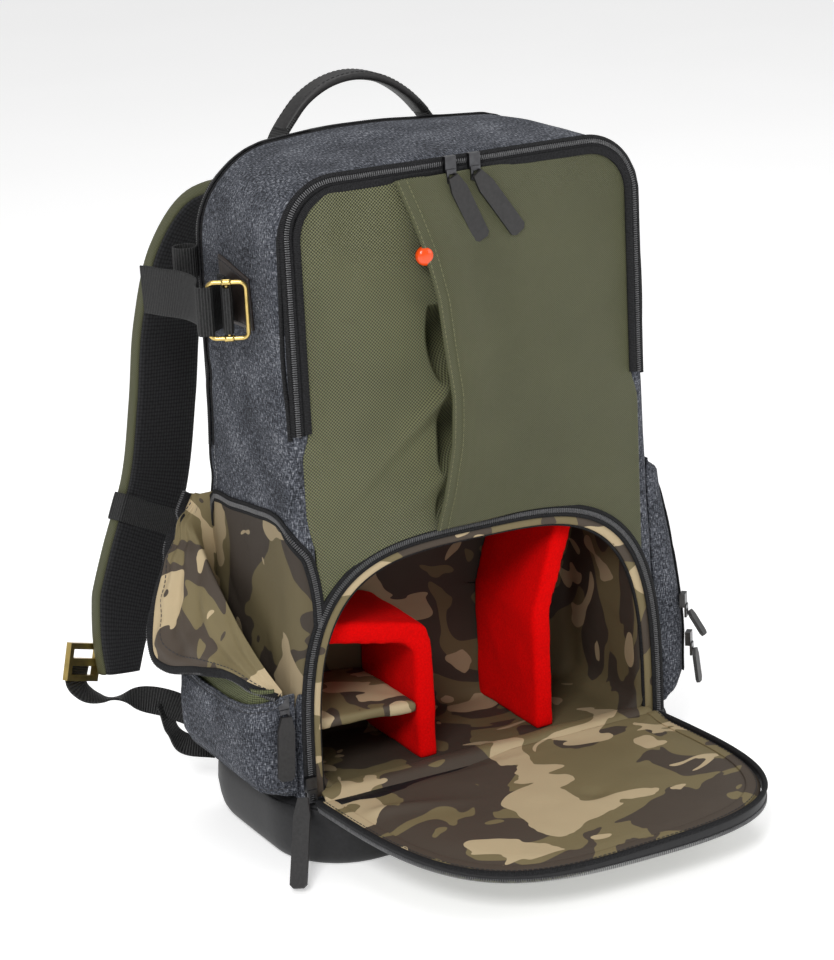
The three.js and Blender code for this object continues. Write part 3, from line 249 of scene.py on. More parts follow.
def make_nylon(name, pitch, dark, light, rough, depth):
    tree, shader = start(name, rough, 0.45)
    uv = weave_uv(tree)
    # The weave is painted into the colour: lighter on the raised threads and darker in the gaps, a painted
    # highlight and painted shade; the cloudy noise is random tone
    thread = waves(tree, uv, pitch)
    share = add(tree, "Math", {0: thread, 1: 0.5, 2: 0.5}, operation="MULTIPLY_ADD").outputs[0]
    cloudy = maths(tree, "SUBTRACT", noise_at(tree, uv, 14.0, 4), 0.5)
    tone = plus(tree, share, times(tree, cloudy, 0.3))
    paint(tree, shader, tone, [(0.15, dark), (0.85, light)])
    fine = times(tree, noise_at(tree, uv, 900.0), 0.3)
    bump(tree, shader, plus(tree, thread, fine), 0.7, depth)


def make_camo(name, light):
    tree, shader = start(name, 0.62, 0.3)
    place = solid_place(tree)
    bent = add(tree, "VectorMath", {0: place, 1: (0.013, 0.021, 0.007)}, operation="ADD").outputs[0]
    low = noise_at(tree, stretched(tree, place, (1, 1.25, 0.9)), 16.0, 1.8, 0.45, 1.0)
    high = noise_at(tree, stretched(tree, bent, (0.9, 1.3, 1.1)), 18.0, 1.7, 0.42, 1.2)
    tones = [(0.066, 0.05, 0.037), (0.178, 0.142, 0.07), (0.47, 0.37, 0.225)]
    # light dims every tone alike, so a copy below 1 is the camo with painted shade
    dark, mid, tan = [shade(tone, light) for tone in tones]
    ground = ramp(tree, low, [(0.0, dark), (0.485, mid)], constant=True)
    mask = ramp(tree, high, [(0.0, (0, 0, 0)), (0.575, (1, 1, 1))], constant=True)
    mix = add(tree, "Mix", {"Factor": mask}, data_type="RGBA")
    tree.links.new(ground, mix.inputs[6])
    mix.inputs[7].default_value = (*tan, 1)
    tree.links.new(mix.outputs[2], shader.inputs["Base Color"])
    creases = times(tree, noise_at(tree, place, 60.0, 4, 0.6), 2.5)
    bump(tree, shader, plus(tree, creases, waves(tree, weave_uv(tree), 0.0009)), 0.3, 0.0005)


def make_plain(name, colour, rough, height, strength, distance=0.0004, spread=0.25, shine=0.5, **sockets):
    tree, shader = start(name, rough, shine, **sockets)
    grain = noise_at(tree, solid_place(tree), *height)
    paint(tree, shader, grain, [(0.3, shade(colour, 1 - spread)), (0.7, shade(colour, 1 + spread))])
    bump(tree, shader, grain, strength, distance)


def make_ribbed(name, colour, pitch, rough):
    tree, shader = start(name, rough, 0.2)
    uv = weave_uv(tree)
    rib = ribs(tree, uv, 1, pitch)
    fuzz = noise_at(tree, stretched(tree, uv, (700, 700, 1)), 1.0)
    # The ribs are painted into the colour, lighter on the crests and darker in the grooves: painted shade;
    # the fuzz is random tone
    tone = plus(tree, times(tree, rib, 0.2), fuzz)
    paint(tree, shader, tone, [(0.25, shade(colour, 0.45)), (0.75, shade(colour, 1.7))])
    bump(tree, shader, plus(tree, rib, times(tree, fuzz, 0.8)), 0.6, 0.0005)


def make_mesh_cloth(name, colour, cell):
    tree, shader = start(name, 0.8, 0.3)
    inputs = {"Vector": weave_uv(tree), "Scale": 1 / cell, "Randomness": 0.15}
    holes = add(tree, "TexVoronoi", inputs).outputs["Distance"]
    # Painted shade: darker where the bump sinks into the mesh's holes, lighter on the raised strands between
    # them
    paint(tree, shader, holes, [(0.25, shade(colour, 2.0)), (0.6, shade(colour, 0.3))])
    bump(tree, shader, times(tree, holes, -1.0), 0.7, 0.0009)


make_denim("denim")
make_nylon("nylon", 0.0023, (0.01, 0.011, 0.004), (0.2, 0.205, 0.1), 0.38, 0.0009)
make_nylon("twill", 0.0014, (0.035, 0.037, 0.015), (0.115, 0.118, 0.053), 0.45, 0.0005)
make_camo("camo", 1.0)
# A darker copy of the camo for the linings deep inside the compartment and the pocket: painted shade
make_camo("camo_painted_shade", 0.6)
make_ribbed("tape", (0.012, 0.012, 0.013), 0.0011, 0.75)
make_ribbed("webbing", (0.022, 0.022, 0.022), 0.0019, 0.6)
make_mesh_cloth("airmesh", (0.011, 0.011, 0.012), 0.0026)
make_mesh_cloth("olive_mesh", (0.06, 0.066, 0.03), 0.0016)
make_plain("felt", (0.62, 0.0, 0.0), 0.95, (700.0, 3), 0.4, 0.0005, 0.12, 0.1)
make_plain("coil", (0.085, 0.085, 0.088), 0.3, (500.0, 1), 0.1)
make_plain("boot", (0.008, 0.008, 0.009), 0.5, (350.0, 3), 0.15, 0.0003, 0.3, 0.35)
make_plain("leather", (0.017, 0.016, 0.016), 0.55, (420.0, 5), 0.5, 0.0003, 0.3)
make_plain("dark_leather", (0.028, 0.02, 0.017), 0.5, (420.0, 5), 0.5, 0.0003, 0.35)
make_plain("brass", (0.62, 0.46, 0.16), 0.3, (160.0, 3), 0.1, 0.0002, 0.15, Metallic=1.0)
make_plain("gunmetal", (0.09, 0.09, 0.095), 0.32, (200.0, 2), 0.1, 0.0001, 0.2, Metallic=1.0)
make_plain("enamel", (0.78, 0.065, 0.0), 0.22, (60.0, 1), 0.02, 0.0001, 0.05, **{"Coat Weight": 0.3})
for name, colour in (
    ("thread", (0.028, 0.028, 0.03)),
    ("pale_thread", (0.33, 0.33, 0.34)),
    ("olive_thread", (0.16, 0.16, 0.085)),
):
    make_plain(name, colour, 0.7, (900.0, 1), 0.2)

# Mesh building


def read(items, key, wide=1, kind=float):
    values = np.empty(len(items) * wide, kind)
    items.foreach_get(key, values)
    return values.reshape(-1, wide) if wide > 1 else values


def placed(obj):
    bpy.context.scene.collection.objects.link(obj)
    return obj


def settle(obj, stands_for):
    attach(obj, "root")
    if stands_for:
        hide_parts(*stands_for)
    return obj


def coat(obj, look):
    obj.data.materials.clear()
    obj.data.materials.append(LOOKS[look])


def walled(obj, thick, offset=-1):
    """Gives a skin its wall, inwards from its outer face unless the offset is 1."""
    wall = obj.modifiers.new("wall", "SOLIDIFY")
    wall.thickness = thick * MM
    wall.offset = offset


def piece(name, points, faces, look, uv=None, stands_for=()):
    mesh = bpy.data.meshes.new(name)
    points = np.asarray(points, float).reshape(-1, 3) * MM
    mesh.from_pydata(points.tolist(), [], [list(map(int, f)) for f in faces])
    mesh.update()
    if uv is not None:
        places = np.asarray(uv, float).reshape(-1, 2)[read(mesh.loops, "vertex_index", 1, int)]
        mesh.uv_layers.new(name="weave").data.foreach_set("uv", (places * MM).ravel())
    mesh.polygons.foreach_set("use_smooth", [True] * len(mesh.polygons))
    mesh.materials.append(LOOKS[look])
    obj = placed(bpy.data.objects.new(name, mesh))
    return settle(obj, stands_for)


def grid_faces(rows, cols, closed=False):
    r = np.arange(rows - 1)[:, None] * cols
    c = np.arange(cols if closed else cols - 1)[None, :]
    d = (c + 1) % cols
    return np.stack([r + c, r + d, r + d + cols, r + c + cols], -1).reshape(-1, 4)


def grid_uv(points):
    """Distances in millimetres along the rows and the columns."""
    u = np.concatenate([[0], np.cumsum(np.linalg.norm(np.diff(points, axis=1), axis=2).mean(0))])
    v = np.concatenate([[0], np.cumsum(np.linalg.norm(np.diff(points, axis=0), axis=2).mean(1))])
    return np.stack(np.meshgrid(u, v), -1)


def grid_normals(points):
    across = np.gradient(points, axis=1)
    along = np.gradient(points, axis=0)
    return unit(np.cross(across, along))


def ring_uv(rows):
    return grid_uv(np.concatenate([rows, rows[:, :1]], 1))[:, :-1]


def cloth(name, points, look, thick, towards, stands_for=(), smooth=1, uv=None):
    """A cloth sheet from rows of points on its outer face, which looks towards a direction."""
    points = np.asarray(points, float)
    if (grid_normals(points).mean((0, 1)) @ np.asarray(towards, float)) < 0:
        points = points[:, ::-1]
        uv = None if uv is None else uv[:, ::-1]
    uv = grid_uv(points) if uv is None else uv
    obj = piece(name, points, grid_faces(*points.shape[:2]), look, uv, stands_for)
    walled(obj, thick)
    if smooth:
        obj.modifiers.new("smooth", "SUBSURF").levels = smooth
        obj.modifiers["smooth"].render_levels = smooth
    return obj


def frames(path, normal):
    """Unit directions along a path, across it and out of it, at each point."""
    along = unit(np.gradient(path, axis=0))
    out = np.broadcast_to(np.asarray(normal, float), path.shape)
    out = unit(out - (out * along).sum(1, keepdims=True) * along)
    return along, np.cross(along, out), out


def normals_out(obj):
    work = bmesh.new()
    work.from_mesh(obj.data)
    bmesh.ops.recalc_face_normals(work, faces=work.faces)
    work.to_mesh(obj.data)
    work.free()


def loft(name, rows, look, stands_for=(), uv=None, ends="both"):
    """A skin over rings of points. ends says which end rings are shut, or that they join."""
    rows = np.asarray(rows, float)
    count = rows.shape[1]
    last = (len(rows) - 1) * count
    faces = grid_faces(len(rows), count, True).tolist()
    if ends in ("both", "first"):
        faces.append(list(range(count))[::-1])
    if ends in ("both", "last"):
        faces.append([last + i for i in range(count)])
    if ends == "joined":
        faces += [[last + i, last + (i + 1) % count, (i + 1) % count, i] for i in range(count)]
    obj = piece(name, rows, faces, look, uv, stands_for)
    normals_out(obj)
    return obj


def sweep(name, path, normal, profile, look, stands_for=(), scale=None, closed=False):
    """A closed outline (across, out) carried along a path."""
    path, profile = np.asarray(path, float), np.asarray(profile, float)
    _, across, out = frames(path, normal)
    size = np.ones(len(path)) if scale is None else np.asarray(scale, float)
    points = path[:, None] + across[:, None] * (profile[None, :, :1] * size[:, None, None])
    points = points + out[:, None] * profile[None, :, 1:]
    uv = np.stack(np.meshgrid(distances(profile), distances(path)), -1)
    return loft(name, points, look, stands_for, uv, "joined" if closed else "both")


def flat(width, thick, power, count, lift=0.0):
    """A flat outline, square at power 0 and oval at 1."""
    turn = np.linspace(0, 2 * np.pi, count, endpoint=False) + np.pi / count
    c, s = np.cos(turn), np.sin(turn)
    across = np.sign(c) * np.abs(c) ** power * width / 2
    return np.stack([across, np.sign(s) * np.abs(s) ** power * thick / 2 + lift], -1)


def band(name, path, across, outline, stands_for=(), closed=False):
    """Webbing along a path, lying flat across a direction."""
    out = np.cross(np.gradient(path, axis=0), across)
    return sweep(name, path, out, outline, "webbing", stands_for, None, closed)


def bead(size_across, size_along, size_out, long_axis):
    """A six-sided pill, its length along one of the three axes."""
    sizes = np.array([size_across, size_along, size_out]) / 2
    rest = [k for k in range(3) if k != long_axis]
    points = []
    for share, wide in ((-1, 0.35), (-0.8, 0.9), (0.8, 0.9), (1, 0.35)):
        for turn in np.arange(6) * np.pi / 3:
            p = np.zeros(3)
            p[long_axis] = share * sizes[long_axis]
            p[rest[0]] = wide * sizes[rest[0]] * math.cos(turn)
            p[rest[1]] = wide * sizes[rest[1]] * math.sin(turn)
            points.append(p)
    faces = grid_faces(4, 6, True).tolist()
    caps = [[0, 5, 4, 3], [0, 3, 2, 1], [18, 19, 20, 21], [18, 21, 22, 23]]
    return points, faces + caps


def beads(name, path, normal, size, long_axis, pitch, look, lift=0.0):
    """Small pills at a pitch along a path, such as a zip's teeth or a row of stitches."""
    count = max(2, int(distances(path)[-1] / pitch))
    run = resample(np.hstack([path, np.broadcast_to(normal, path.shape)]), count)
    along, across, out = frames(run[:, :3], run[:, 3:])
    shape, faces = bead(*size, long_axis)
    shape = np.asarray(shape, float)
    points = (run[:, :3] + out * lift)[:, None] + across[:, None] * shape[None, :, :1]
    points = points + along[:, None] * shape[None, :, 1:2] + out[:, None] * shape[None, :, 2:]
    everything = [list(f) for k in range(count) for f in np.asarray(faces) + k * len(shape)]
    return piece(name, points, everything, look)


def stitches(name, path, normal, look="thread", pitch=3.4):
    return beads(name, path, normal, (0.75, 2.4, 0.55), 1, pitch, look, 0.15)


def zip_run(name, path, normal, wide, lift, stands_for):
    """A zip's two tapes and its coil along a path on a surface."""
    normal = np.broadcast_to(np.asarray(normal, float), path.shape)
    right = [(1.2, 0.4), (1.7, 1.0), (wide / 4, 1.5), (wide / 2, 0.9), (wide / 2, 0)]
    left = [(-x, z) for x, z in right[::-1]]
    sweep(name, path, normal, np.array(left + right) + [0, lift], "tape", stands_for)
    beads(name + "_coil", path, normal, (3.4, 1.15, 1.5), 0, 1.5, "coil", lift + 1.1)


def baked(obj):
    """The object with its modifiers applied."""
    graph = bpy.context.evaluated_depsgraph_get()
    graph.update()
    mesh = bpy.data.meshes.new_from_object(obj.evaluated_get(graph))
    obj.modifiers.clear()
    obj.data = mesh
    return obj


def box_uv(obj):
    """Weave coordinates for a closed form, by the way each face looks."""
    mesh = obj.data
    layer = mesh.uv_layers.get("weave") or mesh.uv_layers.new(name="weave")
    axis = np.abs(read(mesh.polygons, "normal", 3)).argmax(1)
    axis = np.repeat(axis, read(mesh.polygons, "loop_total", 1, int))[:, None]
    at = read(mesh.vertices, "co", 3)[read(mesh.loops, "vertex_index", 1, int)]
    uv = np.where(axis == 0, at[:, [1, 2]], np.where(axis == 1, at[:, [0, 2]], at[:, [0, 1]]))
    layer.data.foreach_set("uv", uv.ravel())


def shift_points(obj, change):
    """Moves the vertices by change(points, normals), in millimetres."""
    vertices = obj.data.vertices
    place = read(vertices, "co", 3) / MM
    moved = place + change(place, read(vertices, "normal", 3))
    vertices.foreach_set("co", (moved * MM).ravel())
    obj.data.update()


def remeshed(obj, voxel, passes):
    voxels = obj.modifiers.new("voxels", "REMESH")
    voxels.mode = "VOXEL"
    voxels.voxel_size = voxel * MM
    ease = obj.modifiers.new("ease", "SMOOTH")
    ease.iterations = passes
    baked(obj)
    obj.data.polygons.foreach_set("use_smooth", [True] * len(obj.data.polygons))


def plump(node, look, seed):
    """A padded piece from a plain solid: rounded edges and soft dents."""
    obj = placed(bpy.data.objects.new(node + "_pad", NODES[node].data.copy()))
    remeshed(obj, 2.6, 7)

    def dents(p, n):
        return n * (swell(p, 30, seed) + swell(p, 10, seed + 3) * 0.35)[:, None] * 1.1

    shift_points(obj, dents)
    coat(obj, look)
    box_uv(obj)
    settle(obj, [node])


class Skin:
    """A finished surface that seams and zips are laid on."""

    def __init__(self, obj):
        graph = bpy.context.evaluated_depsgraph_get()
        graph.update()
        self.tree = BVHTree.FromObject(obj, graph)

    def drape(self, points, direction, reach=60.0, passes=3):
        places, normals = [], []
        for p, d in zip(points, np.broadcast_to(unit(np.asarray(direction, float)), np.shape(points))):
            hit, normal, _, _ = self.tree.ray_cast(Vector((p - d * reach) * MM), Vector(d), 2 * reach * MM)
            places.append(p if hit is None else np.array(hit) / MM)
            normals.append(-d if hit is None else np.array(normal if normal.dot(Vector(d)) < 0 else -normal))
        places, normals = np.array(places), np.array(normals)
        for _ in range(passes):
            normals[1:-1] = (normals[:-2] + normals[1:-1] * 2 + normals[2:]) / 4
            places[1:-1] = (places[:-2] + places[1:-1] * 2 + places[2:]) / 4
        return places, unit(normals)

# Body

SECTIONS = [(-1, 1), (-0.985, 0.72), (-0.94, 0.4), (-0.88, 0.12), (-0.82, 0), (-0.3, -0.2)]
SECTIONS += [(-place, inset) for place, inset in SECTIONS[::-1]]


def body_ring(place, inset):
    back = (place + 1) / 2
    radius = lerp(44, 64, back)
    top = BODY_TOP + 3 * back
    inward = inset * EDGE_ROUND
    rounds = [FLOOR_ROUND - inward, FLOOR_ROUND - max(inward, 0)]
    low = arc((HALF_LOW - FLOOR_ROUND, BOTTOM + FLOOR_ROUND), rounds, -1, 0, 8)
    side = [(half_at(z) - inward, z) for z in np.linspace(BOTTOM + FLOOR_ROUND, top - radius, 20)[1:]]
    corner = arc((HALF_TOP - radius, top - radius), radius - inward, 0, 1, 12)[1:]
    flat_half = HALF_TOP - radius
    crown = [(flat_half * s, top - inward + 3 * (1 - s * s)) for s in np.linspace(1, 0, 9)[1:]]
    half = np.vstack([low, side, corner, crown])
    return upright(np.vstack([half, half[-2::-1] * [-1, 1]]), place * BODY_DEPTH / 2)


def arch_share(x, z, grow=0.0):
    """Below 1 inside the door's arch."""
    up = np.maximum(np.asarray(z, float) - SILL, 0)
    return (np.abs(x) / (DOOR_HALF + grow)) ** DOOR_POWER + (up / (DOOR_LENGTH + grow)) ** DOOR_POWER


def arch_top(x, grow=0.0):
    share = np.clip(1 - (np.abs(x) / (DOOR_HALF + grow)) ** DOOR_POWER, 0, 1)
    return SILL + (DOOR_LENGTH + grow) * share ** (1 / DOOR_POWER)


def arch_path(grow, count):
    turn = np.linspace(0, np.pi, 400)
    c, s = np.cos(turn), np.clip(np.sin(turn), 0, 1)
    x = (DOOR_HALF + grow) * np.sign(c) * np.abs(c) ** (2 / DOOR_POWER)
    z = (DOOR_LENGTH + grow) * s ** (2 / DOOR_POWER)
    return resample(np.stack([x, z], -1), count)


def panel_top(x, grow=0.0):
    corner = PANEL_HALF - PANEL_CORNER
    past = np.clip((np.abs(x) - corner) / (PANEL_CORNER + grow), 0, 1)
    return PANEL_TOP - PANEL_CORNER + (PANEL_CORNER + grow) * np.sqrt(1 - past**2)


def body_dents(p, n):
    side = smoothstep(np.abs(n[:, 0]), 0.5, 0.9)
    soft = side + smoothstep(n[:, 2], 0.5, 0.9) * smoothstep(p[:, 2], 400, 440)
    amount = (swell(p, 95, 1) * 2.2 + swell(p, 38, 2) * 0.9) * soft
    amount += swell(p * [1, 1, 0.45], 17, 3) * 0.5 * side
    folds = 1.3 * hump(p[:, 2], 300 + 0.35 * p[:, 1], 9) + 1.1 * hump(p[:, 2], 262 - 0.3 * p[:, 1], 8)
    amount -= folds * side * smoothstep(-p[:, 0], 0, 100)
    amount -= 1.6 * hump(p[:, 1], 55, 2.2) * soft
    return n * amount[:, None]


def in_opening(x, y, z):
    """Whether a place on the front lies in the door's arch or under the front panel."""
    in_arch = z > SILL + 1 and arch_share(x, z, 2) < 1
    in_panel = abs(x) < PANEL_HALF - 1 and arch_top(x) - 3 < z < panel_top(x, 2)
    return y <= FRONT + 6 and (in_arch or in_panel)


body = loft("body", [body_ring(*section) for section in SECTIONS], "denim", ["body_shell"])
remeshed(body, 3.0, 5)
shift_points(body, body_dents)
work = bmesh.new()
work.from_mesh(body.data)
gone = [face for face in work.faces if in_opening(*(face.calc_center_median() / MM))]
bmesh.ops.delete(work, geom=gone, context="FACES")
work.to_mesh(body.data)
work.free()
coat(body, "denim")
box_uv(body)
walled(body, 2.6)
body_skin = Skin(body)

# Front panel: a lower layer of coarse nylon and an upper layer that ends in a free stitched edge

# How high up the panel a point of the free edge lies, and how far aside
EDGE_SHARES = [0, 0.12, 0.26, 0.4, 0.53, 0.67, 0.8, 0.9, 1]
EDGE_ASIDE = [-0.31, -0.25, -0.21, -0.2, -0.23, -0.26, -0.32, -0.38, -0.45]
PANEL_LOW = SILL + DOOR_LENGTH
UNDERLAP = 24


def overlap_x(z):
    share = (np.asarray(z, float) - PANEL_LOW) / (PANEL_TOP - PANEL_LOW)
    return EDGE_SCALE * np.interp(share, EDGE_SHARES, EDGE_ASIDE)


def panel_bulge(x, z):
    middle, reach = (PANEL_LOW + PANEL_TOP) / 2, (PANEL_TOP - PANEL_LOW) / 2 + PANEL_CORNER
    aside, up = x / PANEL_HALF, (z - middle) / reach
    return PANEL_BULGE * np.clip(1 - aside**2, 0, 1) * np.clip(1 - up**2, 0, 1)


def panel_grid(left, right, rows, cols):
    v, u = np.meshgrid(np.linspace(0, 1, rows), np.linspace(0, 1, cols), indexing="ij")
    z = lerp(PANEL_LOW, PANEL_TOP, v)
    for _ in range(3):
        x = lerp(left(z), right(z), u)
        z = lerp(arch_top(x, 6), panel_top(x), v)
    return x, z


def left_edge(z):
    return -PANEL_HALF + 0.3 - 5 * (1 - smoothstep(z, 285, 302)) * smoothstep(z, 218, 246)


def right_edge(z):
    return PANEL_HALF - 0.3 + 5 * (1 - smoothstep(z, 285, 302))


def hollow(z, middle, reach):
    """A gap beside the upper layer's edge, open over a stretch of height."""
    return np.clip(1 - ((z - middle) / reach) ** 2, 0, 1)


x, z = panel_grid(left_edge, lambda z: overlap_x(z) + UNDERLAP, 120, 80)
p = np.stack([x, FRONT - 0.6 * panel_bulge(x, z) - 0.6, z], -1)
beside = overlap_x(z) - x
inner = smoothstep(x, -PANEL_HALF, -PANEL_HALF + 25)
open_up = 0.8 * hollow(z, 345, 27) + 0.62 * hollow(z, 281, 24) + 0.14 * hollow(z, 236, 10)
sag = 34 * open_up * hump(np.maximum(beside + 0.5, 0), 0, 0.8 + 3.7 * open_up)
fading = np.exp(-np.maximum(beside, 0) / 32) * smoothstep(beside, -14, 4)
ridge = 4.5 * hump(z, 312 - 0.9 * beside, 7) - 3.0 * hump(z, 297 - 0.9 * beside, 9)
ridge += 3.0 * hump(z, 254 - 0.5 * beside, 7) - 2.4 * hump(z, 378 + 0.5 * beside, 9)
folds = (swell(p * [1, 1, 0.55], 34, 5) * 2.2 + swell(p, 70, 6) * 3.0) * inner + ridge * fading
p[..., 1] += sag - folds
uv = np.stack([x, z], -1)
cloth("front_panel_lower_layer", p, "nylon", 2.0, (0, -1, 0), ["front_panel_under"], 1, uv)

x, z = panel_grid(overlap_x, right_edge, 100, 86)
edge_x = overlap_x(z) + UNDERLAP
near = 1 - smoothstep(x, edge_x - 6, edge_x + 2 * UNDERLAP)
soft = panel_bulge(overlap_x(z), z) / PANEL_BULGE
p = np.stack([x, FRONT - panel_bulge(x, z) - (2.8 + 4 * soft) * near - 0.8 * (1 - near), z], -1)
away = smoothstep(x, edge_x - UNDERLAP, edge_x) * smoothstep(PANEL_HALF + 8 - x, 0, 30)
ripple = (swell(p * [1, 1, 0.6], 60, 8) * 2.4 + swell(p, 28, 9) * 0.9) * away
lip = (1.4 * np.sin(z / 21 + 0.7) + 1.6 * np.sin(z / 47) + 1.5) * near * soft
p[..., 1] -= ripple + lip - 0.9 * hump(x, edge_x - UNDERLAP + 9, 1.6)
uv = np.stack([x, z], -1)
panel_over = cloth("front_panel_upper_layer", p, "twill", 1.8, (0, -1, 0), ["front_panel_over"], 1, uv)
over_skin = Skin(panel_over)
for shift, tag in ((2.2, "outer"), (8.6, "inner")):
    run_z = np.linspace(219, 457, 90)
    seam = np.stack([overlap_x(run_z) + shift, run_z], -1)
    line, out = over_skin.drape(on_front(seam), (0, 1, 0))
    stitches("edge_stitches_" + tag, line, out, "olive_thread")

# Zips of the front panel and its piping


def over_top(half, low, top, corner):
    """A line on the body's front, up one side, over the top and down the other."""
    bend = arc((half - corner, top - corner), corner, 0, 1, 14)
    run = resample(np.array([(half, low), *bend, *(bend[::-1] * [-1, 1]), (-half, low)]), 420)
    return body_skin.drape(on_front(run), (0, 1, 0))


line, out = over_top(PANEL_HALF + 6.4, 300, PANEL_TOP + 4.6, 36)
line[:, 1] = np.minimum(line[:, 1], FRONT + 2.5)
zip_run("front_zip_tape", line, out * 0.5 + np.array([0, -0.5, 0]), 9.5, 0.0, ["front_zip"])
line, out = over_top(HALF_TOP - 3.2, 297, BODY_TOP - 2.2, 42)
sweep("front_piping", line + out * 0.6, out, flat(3.2, 3.4, 1, 10), "tape")
line, out = over_top(PANEL_HALF + 0.4, 301, PANEL_TOP - 0.4, 31)
line[:, 1] = FRONT - 1.6
sweep("front_zip_binding", line, (0, -1, 0), flat(5.0, 2.8, 0.7, 14), "tape")

# Rear seam: piping round the back edge with a pale stitched line beside it


def on_rim(place, low=70):
    """A line round the body's sides and top at a depth, above a height."""
    ring = body_ring(place, 0)
    keep = ring[:, 2] > low
    first = np.where(keep & (ring[:, 0] > 0))[0][0]
    last = np.where(keep & (ring[:, 0] < 0))[0][-1]
    line = resample(ring[first : last + 1], 420)
    return body_skin.drape(line, -unit((line - [0, 0, 240]) * [1, 0, 1]))


line, out = on_rim(0.875, 262)
zip_run("rear_zip_tape", line, out, 8.5, 0.3, ["rear_zip"])
line, out = on_rim(0.80, 262)
sweep("rear_zip_fold", line + out * 0.4, out, flat(2.6, 2.2, 1, 10), "tape")
line, out = on_rim(0.80)
stitches("rear_stitches", line, out, "pale_thread", 3.6)
line, out = on_rim(0.945)
sweep("rear_binding", line + out * 0.8, out, flat(5.5, 2.2, 0.6, 12), "tape")

# Camera compartment: its lining and padded dividers

INNER_HALF, INNER_LOW, INNER_TOP, INNER_BACK = 125, 49, 214, 29.8

# The depth of each ring, how far in it lies and its corners' radius
LINING = [(-66.5, -3, 16), *[(y, 0, 14) for y in np.linspace(-61, 22, 22)], (27, 2, 14), (29.5, 7, 12)]
LINING += [(INNER_BACK, 16, 8), (INNER_BACK, 40, 5), (INNER_BACK, 78, 3)]
rows = []
for y, inset, corner in LINING:
    ring = round_box(INNER_HALF - inset, INNER_LOW + inset, INNER_TOP - inset, corner, corner, 9, 160)
    rows.append(upright(ring, y))
rows = np.array(rows)
toward = unit([0, 0, 131.5] - rows * [1, 0, 1])
puckers = np.abs(swell(rows * [1, 0.5, 1], 42, 11) * 2.0 + swell(rows, 17, 12) * 0.7)
rows = rows + toward * (puckers * smoothstep(rows[..., 1], -64, -50))[..., None]
# The compartment's lining takes the darker camo: painted shade inside the compartment
lining = loft("camera_lining", rows, "camo_painted_shade", ["camera_liner"], ring_uv(rows), "last")
walled(lining, 3.0, 1)
plump("divider_left", "felt", 21.0)
plump("divider_right", "felt", 23.0)
plump("divider_shelf", "camo", 25.0)

# Zip round the door's mouth on the body, and the lining's strip inside it


def round_mouth(grow, behind=0.0):
    return on_front(arch_path(grow, 380) + [0, SILL]) + [0, behind, 0]


line, out = body_skin.drape(round_mouth(3.6), (0, 1, 0))
line[:, 1] = FRONT - 0.3
zip_run("door_zip_tape", line, (0, -1, 0), 9.0, 0.3, ["door_zip"])
sweep("door_mouth_strip", round_mouth(-2.6, 0.8), (0, -1, 0), flat(7.5, 2.0, 0.5, 14), "camo")
sweep("door_mouth_binding", round_mouth(-6.6, 2.2), (0, -1, 0), flat(2.6, 3.4, 1, 10), "tape")

# The lining over the sill, up to the door's hinge
x, v = np.meshgrid(np.linspace(-131, 131, 150), np.linspace(-1, 1, 14))
p = np.stack([x, -67 + 13 * v, 50.5 - 2.4 * v**2 - 4.5 * smoothstep(-v, 0.2, 1)], -1)
p[..., 2] += (swell(p, 32, 15) * 1.6 + 1.2 * smoothstep(x, -20, 60)) * (1 - v**2)
cloth("door_sill_lining", p, "camo", 1.6, (0, 0, 1), (), 0)

# The door: a padded lining, its stitched hem, the zipped rim and the cloth of its outer face

HINGE = np.array([0, -72.6, SILL])
DROOP = math.radians(3.5)
DOOR_OUT = np.array([0, -math.cos(DROOP), -math.sin(DROOP)])
DOOR_DOWN = np.array([0, math.sin(DROOP), -math.cos(DROOP)])
DOOR_MIDDLE = np.array([0, 78.0])


def hang(flat_line, low):
    """Places on the hanging door of flat points (x, reach), low being the depth below its lining."""
    x, reach = flat_line.T
    low = low - 4 * x * reach / (DOOR_HALF * DOOR_LENGTH)
    x = x + 0.15 * reach
    return HINGE + x[..., None] * [1, 0, 0] + reach[..., None] * DOOR_OUT + low[..., None] * DOOR_DOWN


def door_disc(name, look, stands_for, grow, depth, shares, lift):
    """The door's shape in rings from its edge inwards. lift gives the height at each ring and place."""
    edge = arch_path(grow, 220)
    edge = np.vstack([edge, np.linspace(edge[-1], edge[0], 90)[1:-1]])
    plan = [DOOR_MIDDLE + (edge - DOOR_MIDDLE) * share for share in shares]
    rows = [hang(ring, depth - lift(ring, share)) for ring, share in zip(plan, shares)]
    disc = loft(name, rows, look, stands_for, plan, "last")
    walled(disc, 1.5)
    return disc


def lining_lift(ring, share):
    x, reach = ring.T
    p = np.stack([x, reach, np.full(len(ring), 5.0)], -1)
    folds = swell(p * [1, 0.7, 1], 55, 31) * 3.2 + swell(p, 24, 32) * 1.2
    left = 3.4 * hump(reach, 62 + 0.22 * x, 7) * smoothstep(-x, 40, 100)
    tack = -2.2 * np.exp(-((x - 18) ** 2 + (reach - 86) ** 2) / 60)
    sill = 4.0 * hump(reach, 0, 10) * smoothstep(x, -40, 20)
    inside = smoothstep(1 - share, 0.02, 0.2)
    return inside * (2.4 + folds * 0.7 + left + tack) + sill - 1.2 * (share > 0.995)


def outer_lift(ring, share):
    return -1.6 * smoothstep(1 - share, 0, 0.2)


def on_door(grow, count):
    return door_skin.drape(hang(arch_path(grow, count), 0.0), DOOR_DOWN)


shares = np.concatenate([[1.0, 0.985, 0.965, 0.94], np.linspace(0.91, 0.03, 44)])
door = door_disc("door_lining", "camo", ["camera_door"], -0.3, 2.0, shares, lining_lift)
door_skin = Skin(door)
shares = np.concatenate([[1.0, 0.97], np.linspace(0.9, 0.04, 16)])
door_disc("door_outer_cloth", "nylon", (), -1.6, 7.6, shares, outer_lift)

